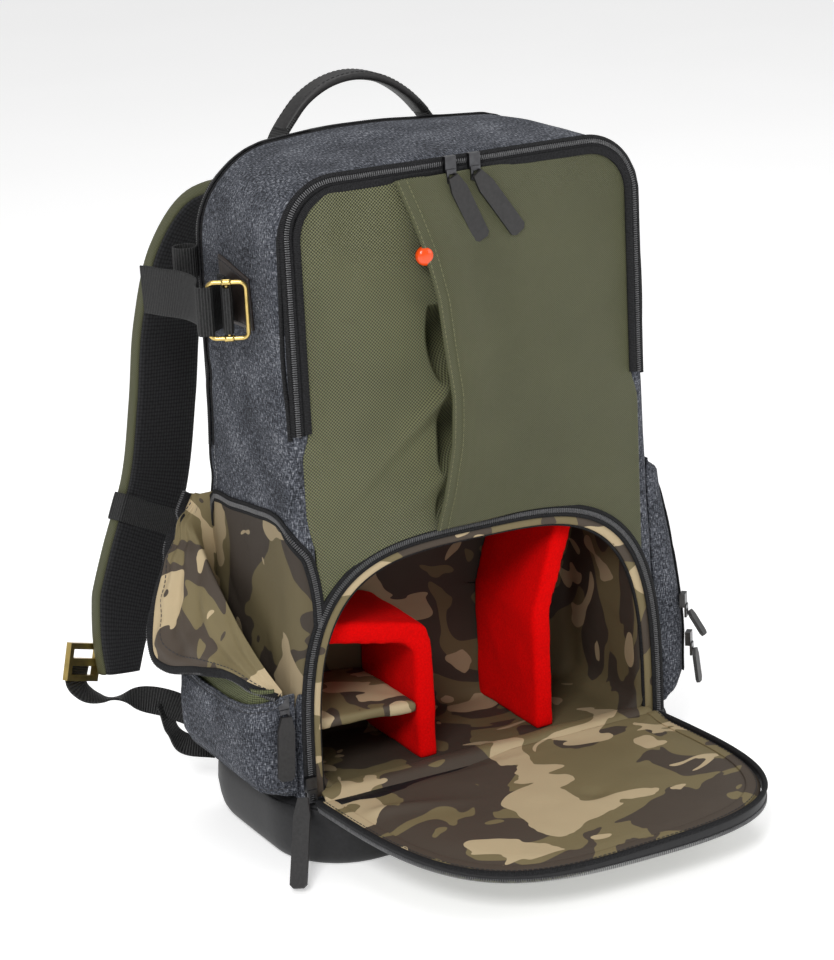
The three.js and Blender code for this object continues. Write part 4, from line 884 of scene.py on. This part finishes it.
door_edge = arch_path(1.6, 420)
to_left = smoothstep(np.linspace(0, 1, 420), 0.42, 0.7)
flat_along = np.gradient(door_edge, axis=0)
flat_out = np.stack([flat_along[:, 1], -flat_along[:, 0]], -1)
flat_out = unit(flat_out * np.sign((flat_out * (door_edge - [0, 60])).sum(1, keepdims=True)))
out = flat_out[:, :1] * [1, 0, 0] + flat_out[:, 1:] * DOOR_OUT
line = hang(door_edge, lerp(4.6, 2.6, to_left))
thinner = lerp(1.0, 0.5, to_left)
sweep("door_rim_tape", line, out, flat(9.0, 3.0, 0.6, 16), "boot", ["door_rim"], thinner)
sweep("door_rim_piping", hang(door_edge, 0.4), out, flat(3.6, 4.0, 1, 10, 0.4), "tape")
teeth = hang(door_edge, lerp(9.4, 5.2, to_left)) + out * 1.5
beads("door_rim_coil", teeth, out, (3.2, 1.1, 1.5), 0, 1.5, "coil")
line, up = on_door(-5.2, 420)
sweep("door_hem", line + up * 0.5, up, flat(8.4, 1.7, 0.6, 14), "camo")
for inset, lift in ((2.6, 1.3), (8.4, 0.1)):
    line, up = on_door(-inset, 300)
    stitches(f"door_stitches_{int(inset)}", line + up * lift, up)

# Base boot

# The share of its height at each level, and of its edge's rounding
BOOT_LEVELS = [(0, 1.0), (0.02, 0.72), (0.08, 0.42), (0.18, 0.16), (0.32, 0)]
BOOT_LEVELS += [(0.55, -0.12), (0.75, -0.05), (0.88, 0.12), (0.96, 0.4), (1, 0.85)]


def boot_ring(inward, z, count=220):
    corner = max(BOOT_CORNER - inward, 6)
    front, back = BOOT_FRONT + inward, BOOT_BACK - inward
    ring = round_box(BOOT_HALF - inward, front, back, corner, corner, 12, count)
    return np.column_stack([ring, np.full(count, float(z))])


rows = [boot_ring(BOOT_ROUND + (1 - share) * 80, 0) for share in np.linspace(0.05, 0.95, 12)]
rows += [boot_ring(inset * BOOT_ROUND, height * BOOT_HEIGHT) for height, inset in BOOT_LEVELS]
rows += [boot_ring(inward, BOOT_HEIGHT - 0.2) for inward in (13, 20, 30)]
rows = np.array(rows)
bulge = swell(rows, 60, 41) * 1.6 * np.sin(np.pi * np.clip(rows[..., 2] / BOOT_HEIGHT, 0, 1))
rows = rows + unit(rows * [1, 1, 0]) * bulge[..., None]
boot = loft("base_cover", rows, "boot", ["base_boot"], ring_uv(rows), "first")
walled(boot, 2.0)
line = boot_ring(2.6, 41.5, 400)
sweep("base_seam", line, unit(line * [1, 1, 0]), flat(2.4, 2.4, 1, 8), "tape", closed=True)

# Side pockets

# The share of a pouch's height at each level, and of its depth
POUCH_HEIGHTS = [0, 0.03, 0.1, 0.25, 0.5, 0.8, 0.95, 1]
POUCH_DEPTHS = [0.3, 0.72, 0.97, 1, 0.82, 0.6, 0.5, 0.25]
POUCH_ROWS, POUCH_COLS = 80, 90


def pouch_share(z):
    return (z - POUCH_LOW) / (POUCH_TOP - POUCH_LOW)


def pouch_ring(side, z, grow):
    near = float(half_at(z)) + 0.9
    far = near + POUCH_OUT * np.interp(pouch_share(z), POUCH_HEIGHTS, POUCH_DEPTHS) + grow
    front, back = POUCH_FRONT - grow, POUCH_BACK + grow
    corner = max(1, min(POUCH_ROUND + grow, far - near - 0.5))
    front_bend = arc((far - corner, front + corner), corner, -1, 0, 9)
    back_bend = arc((far - corner, back - corner), corner, 0, 1, 9)
    line = np.array([(near - 1.5, front), *front_bend, *back_bend, (near - 1.5, back)])
    line = resample(line, POUCH_COLS) * [side, 1]
    return np.column_stack([line, np.full(POUCH_COLS, float(z))])


def pouch_at(side, share, z, grow):
    """Points of a pouch: share runs round it from front to back, z is the height of each."""
    table = np.array([pouch_ring(side, h, grow) for h in np.linspace(POUCH_LOW, POUCH_TOP, POUCH_ROWS)])
    col = share * (POUCH_COLS - 1)
    row = np.clip(pouch_share(z), 0, 1) * (POUCH_ROWS - 1)
    c = np.minimum(col.astype(int), POUCH_COLS - 2)
    r = np.minimum(row.astype(int), POUCH_ROWS - 2)
    past = (col - c)[..., None]
    lower = lerp(table[r, c], table[r, c + 1], past)
    return lerp(lower, lerp(table[r + 1, c], table[r + 1, c + 1], past), (row - r)[..., None])


def ends(share):
    """Small at a pouch's front and back edges, where it is sewn down."""
    return smoothstep(share, 0, 0.12) * smoothstep(1 - share, 0, 0.12)


def outward(side, p):
    return unit(np.stack([p[..., 0] - side * 120, p[..., 1] * 0.7, 0 * p[..., 0]], -1))


def pushed(side, p, amount):
    return p + outward(side, p) * amount[..., None]


def scoop(share):
    """The height of the slip pocket's mouth."""
    dip = np.sin(np.pi * np.clip(share * 1.15 - 0.06, 0, 1))
    return POUCH_MOUTH + 5 - 9 * dip + 2 * smoothstep(share, 0.75, 1)


share, v = np.meshgrid(np.linspace(0, 1, 110), np.linspace(0, 1, 60))
p = pouch_at(-1, share, lerp(POUCH_LOW, POUCH_MOUTH, v), 0)
wrinkle = (swell(p * [1, 1, 0.6], 26, 51) * 1.1 + swell(p, 60, 52) * 1.2) * ends(share)
cloth("left_pouch", pushed(-1, p, wrinkle), "denim", 2.3, (-1, 0, 0), ["left_pocket_pouch"], 0)
z = lerp(POUCH_LOW + 8, POUCH_MOUTH + 11, v)
p = pouch_at(-1, lerp(0.08, 0.94, share), z, 1.4)
p = pushed(-1, p, 2.6 * smoothstep(z, 100, 126))
cloth("left_mesh", p, "olive_mesh", 0.9, (-1, 0, 0), ["left_mesh_pocket"], 0)

SLIP_OUT = 4.1
z = lerp(POUCH_LOW + 3, scoop(share), v)
p = pouch_at(-1, share, z, SLIP_OUT)
wrinkle = swell(p * [1, 1, 0.55], 24, 54) * 1.3 + swell(p, 55, 55) * 1.6 + 2.0 * smoothstep(z, 96, 118)
p = pushed(-1, p, wrinkle * ends(share) - 1.5 * hump(v, 0.9, 0.02))
slip = cloth("left_slip_pocket_cloth", p, "denim", 2.0, (-1, 0, 0), ["left_slip_pocket"], 1)
slip_skin = Skin(slip)


def on_slip(share, z):
    line = pouch_at(-1, share, z, SLIP_OUT)
    return slip_skin.drape(line, -outward(-1, line))


run = np.linspace(0.04, 0.96, 120)
for name, height in (
    ("slip_stitches_2", scoop(run) - 2.2),
    ("slip_stitches_6", scoop(run) - 6.4),
    ("slip_hem_low", np.full(120, POUCH_LOW + 4.5)),
    ("slip_hem_high", np.full(120, POUCH_LOW + 8.5)),
):
    stitches(name, *on_slip(run, height), "thread", 3.2)
line, out = on_slip(np.full(40, 0.17), np.linspace(POUCH_LOW + 4, 88, 40))
sweep("slip_seam", line + out * 0.2, out, flat(2.6, 1.4, 0.8, 10), "denim")

share, v = np.meshgrid(np.linspace(0, 1, 120), np.linspace(0, 1, 120))
z = lerp(POUCH_LOW, POUCH_TOP, v)
p = pouch_at(1, share, z, 0)
wrinkle = swell(p * [1, 1, 0.6], 30, 57) * 1.4 + swell(p, 70, 58) * 2.0
wrinkle = wrinkle * ends(share) * smoothstep(1 - v, 0, 0.1)
shut = np.stack([np.full_like(z, 141.5), p[..., 1] * 0.985, z + 3], -1)
p = lerp(pushed(1, p, wrinkle), shut, smoothstep(v, 0.965, 1.0)[..., None])
right_pocket = cloth("right_pocket_cloth", p, "denim", 2.2, (1, 0, 0), ["right_pocket"], 0)

ZIP_IN, ZIP_COUNT = 5.5, 260
rear, fore = 14 - ZIP_IN, 40 - ZIP_IN
back, front, top = POUCH_BACK - ZIP_IN, POUCH_FRONT + ZIP_IN, POUCH_TOP + 4 - ZIP_IN
rear_bend = arc((back - rear, top - rear), rear, 0, 1, 8)
fore_bend = arc((front + fore, top - fore), fore, 1, 2, 12)
arch = resample(np.array([(back, 150), *rear_bend, *fore_bend, (front, 66)]), ZIP_COUNT)
arch = np.column_stack([np.full(ZIP_COUNT, 190.0), arch])
line, out = Skin(right_pocket).drape(arch, (-1, 0.25, 0))
zip_run("right_pocket_zip_tape", line, out, 10.0, 0.2, ["right_pocket_zip"])

# Left pocket: its lining and zip run round the body's front corner to the door's zip

POCKET_RUN, CORNER_RUN = 114.0, 14.0


def by_corner(along, z):
    """Places just off the body and the way in, from the pocket's rear edge round to the front face."""
    turn = np.clip((along - POCKET_RUN) / CORNER_RUN, 0, 1) * np.pi / 2
    way = np.stack([np.cos(turn), np.sin(turn), 0 * turn], -1)
    x = EDGE_ROUND - half_at(z) + np.maximum(along - POCKET_RUN - CORNER_RUN, 0)
    y = POUCH_BACK - 1 - np.clip(along, 0, POCKET_RUN)
    return np.stack([x, y, z], -1) - way * (EDGE_ROUND + 2), way


# How far round the pocket each point of its upper edge lies, and how high
ARCH_TOP = [(-1, 208), (1, 222), (5, 229), (14, 232.5), (40, 234), (75, 237.5), (100, 239)]
ARCH_TOP += [(112, 237), (120, 231), (127, 220), (132, 205), (135.5, 186), (136.5, 168)]


def arch_over(count):
    return curve(np.array([(a, 0.0, z) for a, z in ARCH_TOP]), count)[:, [0, 2]]


at, way = by_corner(*arch_over(300).T)
line, out = body_skin.drape(at, way, 40)
zip_run("left_pocket_zip_tape", line, (out - way) / 2, 8.5, 0.5, ["left_pocket_zip"])
run = np.linspace(0, 133.0, 96)
top = np.interp(run, *arch_over(400).T) - 1.5
v, along = np.meshgrid(np.linspace(0, 1, 70), run, indexing="ij")
foot = np.where(along > 118, lerp(POUCH_LOW + 14, 122.0, smoothstep(along, 112, 124)), POUCH_LOW + 14)
z = lerp(foot, top, v)
at, way = by_corner(along, z)
line, out = body_skin.drape(at.reshape(-1, 3), way.reshape(-1, 3), 40, 0)
puckers = np.abs(swell(at * [1, 1, 0.7], 30, 61)) * 4.0 * np.sin(np.pi * v)
puckers = puckers * smoothstep(POCKET_RUN - along, 0, 14) * smoothstep(along, 0, 12)
p = line.reshape(at.shape) - way * (1.2 + puckers)[..., None]
# The pocket's lining takes the darker camo: painted shade inside the pocket
cloth("left_pocket_inner_lining", p, "camo_painted_shade", 1.0, (-1, -0.2, 0), ["left_pocket_lining"], 0)

# The flap: sewn along the pocket's rear edge and mouth, folded over a lip and hanging outside it

FLAP_SEAM = [(-135, 60, 232), (-135, 60, 200), (-137, 60.5, 155), (-148, 61, 118)]
FLAP_SEAM += [(-163, 44, 113), (-165, 2, 112), (-162, -38, 112), (-150, -60, 116)]
FLAP_LIP = [(-147, 64, 231), (-156, 60, 216), (-160, 31, 199), (-162, -2, 182)]
FLAP_LIP += [(-162, -30, 161), (-159, -49, 144), (-152, -63, 126)]
FLAP_EDGE = [(-153, 66, 232), (-171, 62, 204), (-184, 57, 180), (-195, 50, 155), (-201, 39, 131)]
FLAP_EDGE += [(-197, 25, 126), (-187, -2, 131), (-177, -34, 135), (-168, -54, 130), (-156, -65, 125)]
FLAP_OUT = unit(np.array([-0.8, -0.3, 0.5]))
seam, lip, free = (curve(line, 120) for line in (FLAP_SEAM, FLAP_LIP, FLAP_EDGE))
rows = [lerp(seam, lip, t) for t in np.linspace(0, 1, 24)]
rows += [lerp(lip, free, t) for t in np.linspace(0, 1, 50)[1:]]
p = np.array(rows)
for _ in range(8):
    p[1:-1] = (p[:-2] + 2 * p[1:-1] + p[2:]) / 4
v, u = np.meshgrid(np.linspace(0, 1, len(p)), np.linspace(0, 1, 120), indexing="ij")
outer = smoothstep(v, 0.3, 0.5) * smoothstep(1 - v, 0, 0.12)
soft = np.sin(np.pi * u) * outer
gather = 2.2 * np.sin(u * 46 + v * 4) * hump(u, 0, 0.3) * outer
pull = 1.8 * np.sin((v * 1.3 - u) * 21)
wave = swell(p, 24, 63) * 4.0 + swell(p, 11, 64)
p = p + FLAP_OUT * ((3.0 + pull + wave) * soft + gather)[..., None]
flap = cloth("left_pocket_flap_cloth", p, "camo", 2.2, FLAP_OUT, ["left_pocket_flap"], 1)
flap.data.materials.append(LOOKS["denim"])
flap.modifiers["wall"].material_offset = 1
inward_edge = unit(p[-1] - p[-6])
side_out = unit(np.cross(np.gradient(p[-1], axis=0), inward_edge))
side_out = side_out * np.sign((side_out @ FLAP_OUT).mean())
zip_path = p[-1] + inward_edge * 1.8 - side_out * 1.1
sweep("flap_tape", zip_path, side_out, flat(6.5, 3.4, 0.6, 16), "tape")
beads("flap_coil", zip_path + inward_edge * 2.9, side_out, (1.9, 1.1, 3.0), 2, 1.5, "coil")
stitches("flap_stitches", *Skin(flap).drape(p[-10, 4:-4], -FLAP_OUT, 20))

# Harness

# Each strap's run from its sewn top down: shares of the body's half width, a lift in places and shares
# of the body's height
ROUTE = [(0.36, 0, 0.84), (0.4, 0.02, 0.875), (0.5, 0.5, 0.915), (0.66, 1.3, 0.895), (0.82, 1.9, 0.825)]
ROUTE += [(0.92, 2.1, 0.72), (0.98, 2.1, 0.6), (1.07, 1.95, 0.475), (1.25, 1.5, 0.36)]
ROUTE += [(1.38, 1.05, 0.265), (1.42, 0.9, 0.2)]
STRAP_WIDE, STRAP_PAD, STRAP_LIFT, LADDER_TALL, LADDER_THICK = 60, 13, 22, 27, 5

# Shares of the way from the ladder lock to the body: backwards, aside and down
LOWER_RUN = [(0, 0, 0), (0.06, 0.04, 0.2), (0.12, 0.2, 0.42), (0.25, 0.43, 0.49), (0.4, 0.68, 0.67)]
LOWER_RUN += [(0.6, 0.86, 0.9), (1, 1, 1)]
LOWER_TAIL = [(0.38, 0.64, 0.66), (0.47, 0.69, 1.15), (0.52, 0.78, 1.55), (0.6, 1.05, 1.78)]
KEEPER = [(31.5, 5.8), (31.5, -5.6), (-31.5, -5.6), (-31.5, 5.8), (-28, 8.2), (28, 8.2), (31.5, 5.8)]


def strap_lines(side, count):
    """A strap's middle line, and the ways along it, across it and out of it."""
    rest = PAD_BACK + GAP + STRAP_PAD / 2
    path = curve([(side * x * HALF_TOP, rest + y * STRAP_LIFT, z * BODY_TOP) for x, y, z in ROUTE], count)
    turn = math.radians(20) * smoothstep(np.linspace(0, 1, count), 0.05, 0.35)
    along = unit(np.gradient(path, axis=0))
    wide = np.stack([-side * np.cos(turn), np.sin(turn), 0 * turn], -1)
    wide = unit(wide - (wide * along).sum(1, keepdims=True) * along)
    outer_way = np.cross(along, wide)
    return path, along, wide, outer_way * np.where(outer_way[:, 1:2] < 0, -1, 1)


def strap_place(side, share):
    """The same at one share of the strap's run."""
    i = round(share * 26)
    return [line[i] for line in strap_lines(side, 27)]


def make_strap(side, hand):
    path, _, wide, outer_way = strap_lines(side, 130)
    narrow = lerp(1.0, 0.55, np.maximum((np.linspace(0, 1, 130) - 0.88) / 0.12, 0))
    stands_for = [f"shoulder_strap_{hand}"]
    name = f"strap_{hand}_"
    outline = flat(57, 9.6, 0.5, 28)
    pad = sweep(name + "pad", path - outer_way * 1.2, outer_way, outline, "airmesh", stands_for, narrow)
    outline = flat(56, 4.0, 0.5, 24)
    sweep(name + "cover", path + outer_way * 3.9, outer_way, outline, "nylon", (), narrow)
    for edge, tag in ((-1, "a"), (1, "b")):
        rim_path = path + wide * (edge * 28.4 * narrow)[:, None] + outer_way * 1.6
        sweep(name + "binding_" + tag, rim_path, outer_way, flat(4.0, 8.4, 0.7, 12), "twill")
        seam = rim_path - wide * (edge * 4.6 * narrow)[:, None] + outer_way * 4.3
        stitches(name + "stitches_" + tag, seam, outer_way, "thread", 4.0)
    top, top_way = path[:20], outer_way[:20]
    sweep(name + "top", top - top_way * 0.4, top_way, flat(60.5, 13.4, 0.5, 28), "twill")
    middle, middle_way = path[6:-6], outer_way[6:-6]
    sweep(name + "webbing", middle + middle_way * 6.3, middle_way, flat(22, 1.4, 0.5, 14), "webbing")
    point, way, across, out = strap_place(side, 0.74)
    hoop = resample(np.array(KEEPER), 70)[:-1]
    hoop = point + hoop[:, :1] * across + hoop[:, 1:] * out
    band(name + "keeper", hoop, way, flat(20, 1.4, 0.5, 12), [f"strap_keeper_{hand}"], True)


def make_lower_webbing(side, hand):
    point, way, across, out = strap_place(side, 0.93)
    begin = point + out * (STRAP_PAD / 2 + LADDER_THICK + 1.6)
    begin = begin + way * LADDER_TALL * 1.55 + across * (4 - STRAP_WIDE / 2)
    anchor = np.array([side * (HALF_LOW - 3), BACK + 2, 58])
    run, tail = (lerp(begin, anchor, np.array(table)[:, [1, 0, 2]]) for table in (LOWER_RUN, LOWER_TAIL))
    run = curve([begin - way * LADDER_TALL * 0.6, *run], 90)
    mix = smoothstep(np.linspace(0, 1, 90), 0.3, 0.8)[:, None]
    across = across * (1 - mix) + np.array([0, 0.2, 1]) * mix
    name = f"lower_webbing_{hand}"
    band(name + "_run", run, across, flat(20, 1.8, 0.4, 14), [name])
    band(name + "_tail", curve(tail, 50), (0, 0.5, 1), flat(16, 1.8, 0.4, 14))


for side, hand in ((-1, "left"), (1, "right")):
    make_strap(side, hand)
    make_lower_webbing(side, hand)

# Padded back

BACK_EDGE = [(3, PAD_FRONT), (1, 71), (0, 76), (0.6, 81), (3, 86), (6.5, 89), (11, PAD_BACK - 0.2)]
BACK_GROOVES = [(150, 3.5), (262, 3.5), (356, 3.0)]


def back_ring(inset, y, count=240):
    low, high = BOOT_HEIGHT + GAP + inset, BODY_TOP - 6 - inset
    return upright(round_box(PAD_HALF - inset, low, high, 24, 56, 12, count), y)


rows = [back_ring(inset, y) for inset, y in BACK_EDGE]
middle = np.array([0, PAD_BACK - 0.2, 254])
rim_ring = rows[-1]
for share in np.linspace(0.965, 0.03, 46):
    ring = middle + (rim_ring - middle) * share
    x, z = ring[:, 0], ring[:, 2]
    grooves = 7 * hump(x, 0, 11) + 4 * hump(np.abs(x), 62, 4) * smoothstep(350 - z, 0, 40)
    grooves = grooves + sum(deep * hump(z, height, 4) for height, deep in BACK_GROOVES)
    grooves = np.minimum(grooves, 8) * smoothstep(1 - share, 0.02, 0.12)
    ring[:, 1] = PAD_BACK - grooves + 0.7 * swell(ring, 45, 71) - 0.7
    rows.append(ring)
rows = np.array(rows)
back_pad = loft("back_padding", rows, "airmesh", ["back_panel"], rows[..., [0, 2]])
line = back_ring(1.2, 86.5, 400)
sweep("back_binding", line, unit(line - [0, 60, 254]), flat(5.0, 3.0, 0.7, 12), "tape", closed=True)

# Grab handle, sewn to the back's top edge

HANDLE = [(-68, 455), (-63, 466), (-54, 478), (-42, 491), (-25, 500.5), (-6, 503.5), (15, 499)]
HANDLE += [(33, 488.5), (47, 475), (55, 463), (58, 455)]
path = curve([(x, 80 + 1.5 * math.sin(i), z) for i, (x, z) in enumerate(HANDLE)], 140)
away = unit(path - [-5, 80, 440])
narrow = 1 - 0.1 * np.sin(np.linspace(0, np.pi, 108))
outline = flat(21, 6.4, 0.6, 24)
grip = sweep("handle_grip", path[16:-16], away[16:-16], outline, "leather", ["grab_handle"], narrow)
for tag, part in (("left", slice(0, 26)), ("right", slice(-26, None))):
    sweep(f"handle_{tag}_webbing", path[part], away[part], flat(25, 3.0, 0.4, 16), "webbing")
for shift, tag in ((-7.0, "rear"), (7.0, "front")):
    line = path + away * 2.8 + [0, shift, 0]
    stitches("handle_stitches_" + tag, line[20:-20], away[20:-20], "thread", 3.6)

# Side strap with its wire buckle

BUCKLE = np.array([-155.5, -25, 380.0])
SKEW = math.radians(58)
AHEAD, ASIDE = np.array([math.sin(SKEW), -math.cos(SKEW), 0]), np.array([-math.cos(SKEW), -math.sin(SKEW), 0])


def by_buckle(ahead, out, up=0.0):
    return BUCKLE + AHEAD * ahead + ASIDE * out + [0, 0, up]


def by_side(out, behind, drop=0.0):
    return np.array([-HALF_TOP - out, BUCKLE[1] + behind, BUCKLE[2] - drop])


def wire(name, points, size, count, stands_for=(), closed=False):
    """Round wire through places (ahead, up) of the buckle."""
    path = np.array([by_buckle(ahead, 0, up) for ahead, up in points])
    sweep(name, path, ASIDE, flat(size, size, 1, count), "brass", stands_for, None, closed)


wire("buckle_wire", round_box(12.7, -18.7, 18.7, 4.2, 4.2, 7, 120), 3.0, 14, ["side_buckle"], True)
wire("buckle_bar", [(0, up) for up in np.linspace(-18.5, 18.5, 16)], 2.4, 12)
for up, tag in ((-18.7, "low"), (18.7, "high")):
    wire("buckle_ferrule_" + tag, [(ahead, up) for ahead in np.linspace(-3.2, 3.2, 5)], 4.4, 14)

v, y = np.meshgrid(np.linspace(364, 402, 30), np.linspace(-27, 17, 40), indexing="ij")
z = v + 0.2 * (y + 13) * smoothstep(v, 375, 402)
start_at = np.stack([np.full_like(z, -190.0), y, z], -1).reshape(-1, 3)
line, out = body_skin.drape(start_at, (1, 0, 0), 90, 0)
p = (line + out * 1.9).reshape(*z.shape, 3)
cloth("side_patch_leather", p, "dark_leather", 1.8, (-1, 0, 0), ["side_patch"], 0)
for edge, tag in ((2, "low"), (-3, "high")):
    stitches("patch_stitches_" + tag, p[edge], (-1, 0, 0), "thread", 3.2)

WIRE, WEBBING = 3, 1.6
TURN = (WIRE + WEBBING) / 2 + GAP
FIRST = 5.2
SECOND = FIRST + WEBBING + GAP
BAR_AT = (28 - WIRE) / 2
UP = (0, 0, 1)
round_bar = [(-1.6, -2), (-1, 0), (-0.6, 1), (0.6, 1), (1, 0), (0.6, -1.2), (-0.2, -2.4)]
loop = [by_side(FIRST, 36), by_side(FIRST, 22)]
loop += [by_buckle(ahead * TURN, out * TURN) for ahead, out in round_bar]
band("buckle_loop_webbing", curve(loop, 110), UP, flat(31, 1.5, 0.3, 14), ["side_buckle_loop"])
round_side = [(0, -1.5), (0.9, -0.5), (0.7, 0.7), (0, 1.1)]
strap = [by_side(SECOND, 36), by_side(SECOND, 26)]
strap += [by_buckle(ahead * TURN - BAR_AT, out * TURN) for ahead, out in round_side]
strap += [by_buckle(-BAR_AT - 6, TURN * 1.1), by_side(23.5, 36), by_side(23.5, 58)]
strap += [by_side(29.5, 80, 1), by_side(34.5, 101, 2)]
path = curve(strap, 170)
band("side_strap_webbing", path, UP, flat(33, 1.5, 0.3, 14), ["side_strap"])
hemmed = (path + unit(np.cross(np.gradient(path, axis=0), UP)) * 1.3)[-16:-2]
band("side_strap_hem", hemmed, UP, flat(33, 1.4, 0.3, 14))
radius = 7.95
turn = np.linspace(0.1, 2 * np.pi - 0.1, 60)
curl = np.stack([radius * np.cos(turn) - radius, radius * np.sin(turn), 0 * turn], -1)
band("side_curl_webbing", curl + [-HALF_TOP, 61, 396], UP, flat(21, 1.5, 0.3, 14), ["side_strap_loop"])

# Hard trim keeps its solids, with softened edges and its own materials


def dress(node, look, bevel):
    obj = NODES[node]
    coat(obj, look)
    soften = obj.modifiers.new("edge", "BEVEL")
    soften.width = bevel * MM
    soften.segments = 2
    soften.limit_method = "ANGLE"
    soften.harden_normals = False


for name in NODES:
    if name.endswith("_slider"):
        dress(name, "gunmetal", 0.6)
    if name.endswith("_pull"):
        dress(name, "leather", 0.5)
    if name.startswith("ladder_lock"):
        dress(name, "brass", 0.8)

# The button, domed inside the size of its solid
tab = np.array([v.co for v in NODES["front_button"].data.vertices]) / MM
middle, half = (tab.max(0) + tab.min(0)) / 2, (tab.max(0) - tab.min(0)) / 2
outline = [(0.96, -1), (1, -0.6)]
outline += [(math.cos(t) ** 0.8, lerp(-0.2, 1, math.sin(t))) for t in np.linspace(0, 1.5, 10)]
turn = np.linspace(0, 2 * np.pi, 48, endpoint=False)
rows = []
for wide, lift in outline:
    rows.append(middle + half * np.stack([wide * np.cos(turn), 0 * turn - lift, wide * np.sin(turn)], -1))
loft("front_button_dome", rows, "enamel", ["front_button"])

# Floor, lights and camera

WHITE = (1, 1, 1, 1)
AMBIENT = 0.42
floor_mesh = bpy.data.meshes.new("floor")
floor_mesh.from_pydata([(-12, -12, 0), (12, -12, 0), (12, 12, 0), (-12, 12, 0)], [], [(0, 1, 2, 3)])
glow = {"Emission Color": WHITE, "Emission Strength": AMBIENT}
make_plain("floor", (0.88, 0.88, 0.88), 0.8, (3.0, 1), 0.0, 0.0001, 0.01, **glow)
floor_mesh.materials.append(LOOKS["floor"])
placed(bpy.data.objects.new("floor", floor_mesh))

world = bpy.data.worlds.new("studio")
world.use_nodes = True
background = world.node_tree.nodes["Background"].inputs
background["Color"].default_value = WHITE
background["Strength"].default_value = AMBIENT
bpy.context.scene.world = world
bpy.context.scene.view_settings.view_transform = "Standard"


def lamp(name, place, size, power):
    data = bpy.data.lights.new(name, "AREA")
    data.size = size
    data.energy = power
    obj = placed(bpy.data.objects.new(name, data))
    obj.location = place
    obj.rotation_mode = "QUATERNION"
    obj.rotation_quaternion = (Vector((0, 0, 0.2)) - Vector(place)).to_track_quat("-Z", "Y")


lamp("key", (-1.6, -1.9, 2.1), 0.9, 56)
lamp("fill", (1.9, -1.5, 1.2), 1.6, 14)
lamp("top", (0.2, 0.5, 2.4), 1.6, 20)

EYE = (-0.8934945, -1.693988, 0.8229192)
YAW, PITCH, ROLL = math.radians(27.5316), math.radians(-17.2229), math.radians(-2.9178)
FOCAL_PX, PHOTO_HEIGHT_PX, SENSOR = 2880.62, 960, 36
ahead = Vector((math.sin(YAW) * math.cos(PITCH), math.cos(YAW) * math.cos(PITCH), math.sin(PITCH)))
right = Vector((math.cos(YAW), -math.sin(YAW), 0))
up = right.cross(ahead)
tilted = right * math.cos(ROLL) + up * math.sin(ROLL)
upward = up * math.cos(ROLL) - right * math.sin(ROLL)
view = Matrix((tilted, upward, -ahead)).transposed().to_4x4()
view.translation = Vector(EYE)
camera = placed(bpy.data.objects.new("camera", bpy.data.cameras.new("camera")))
camera.data.sensor_width = SENSOR
camera.data.lens = SENSOR * FOCAL_PX / PHOTO_HEIGHT_PX
camera.data.clip_end = 60
camera.matrix_world = view
bpy.context.scene.camera = camera
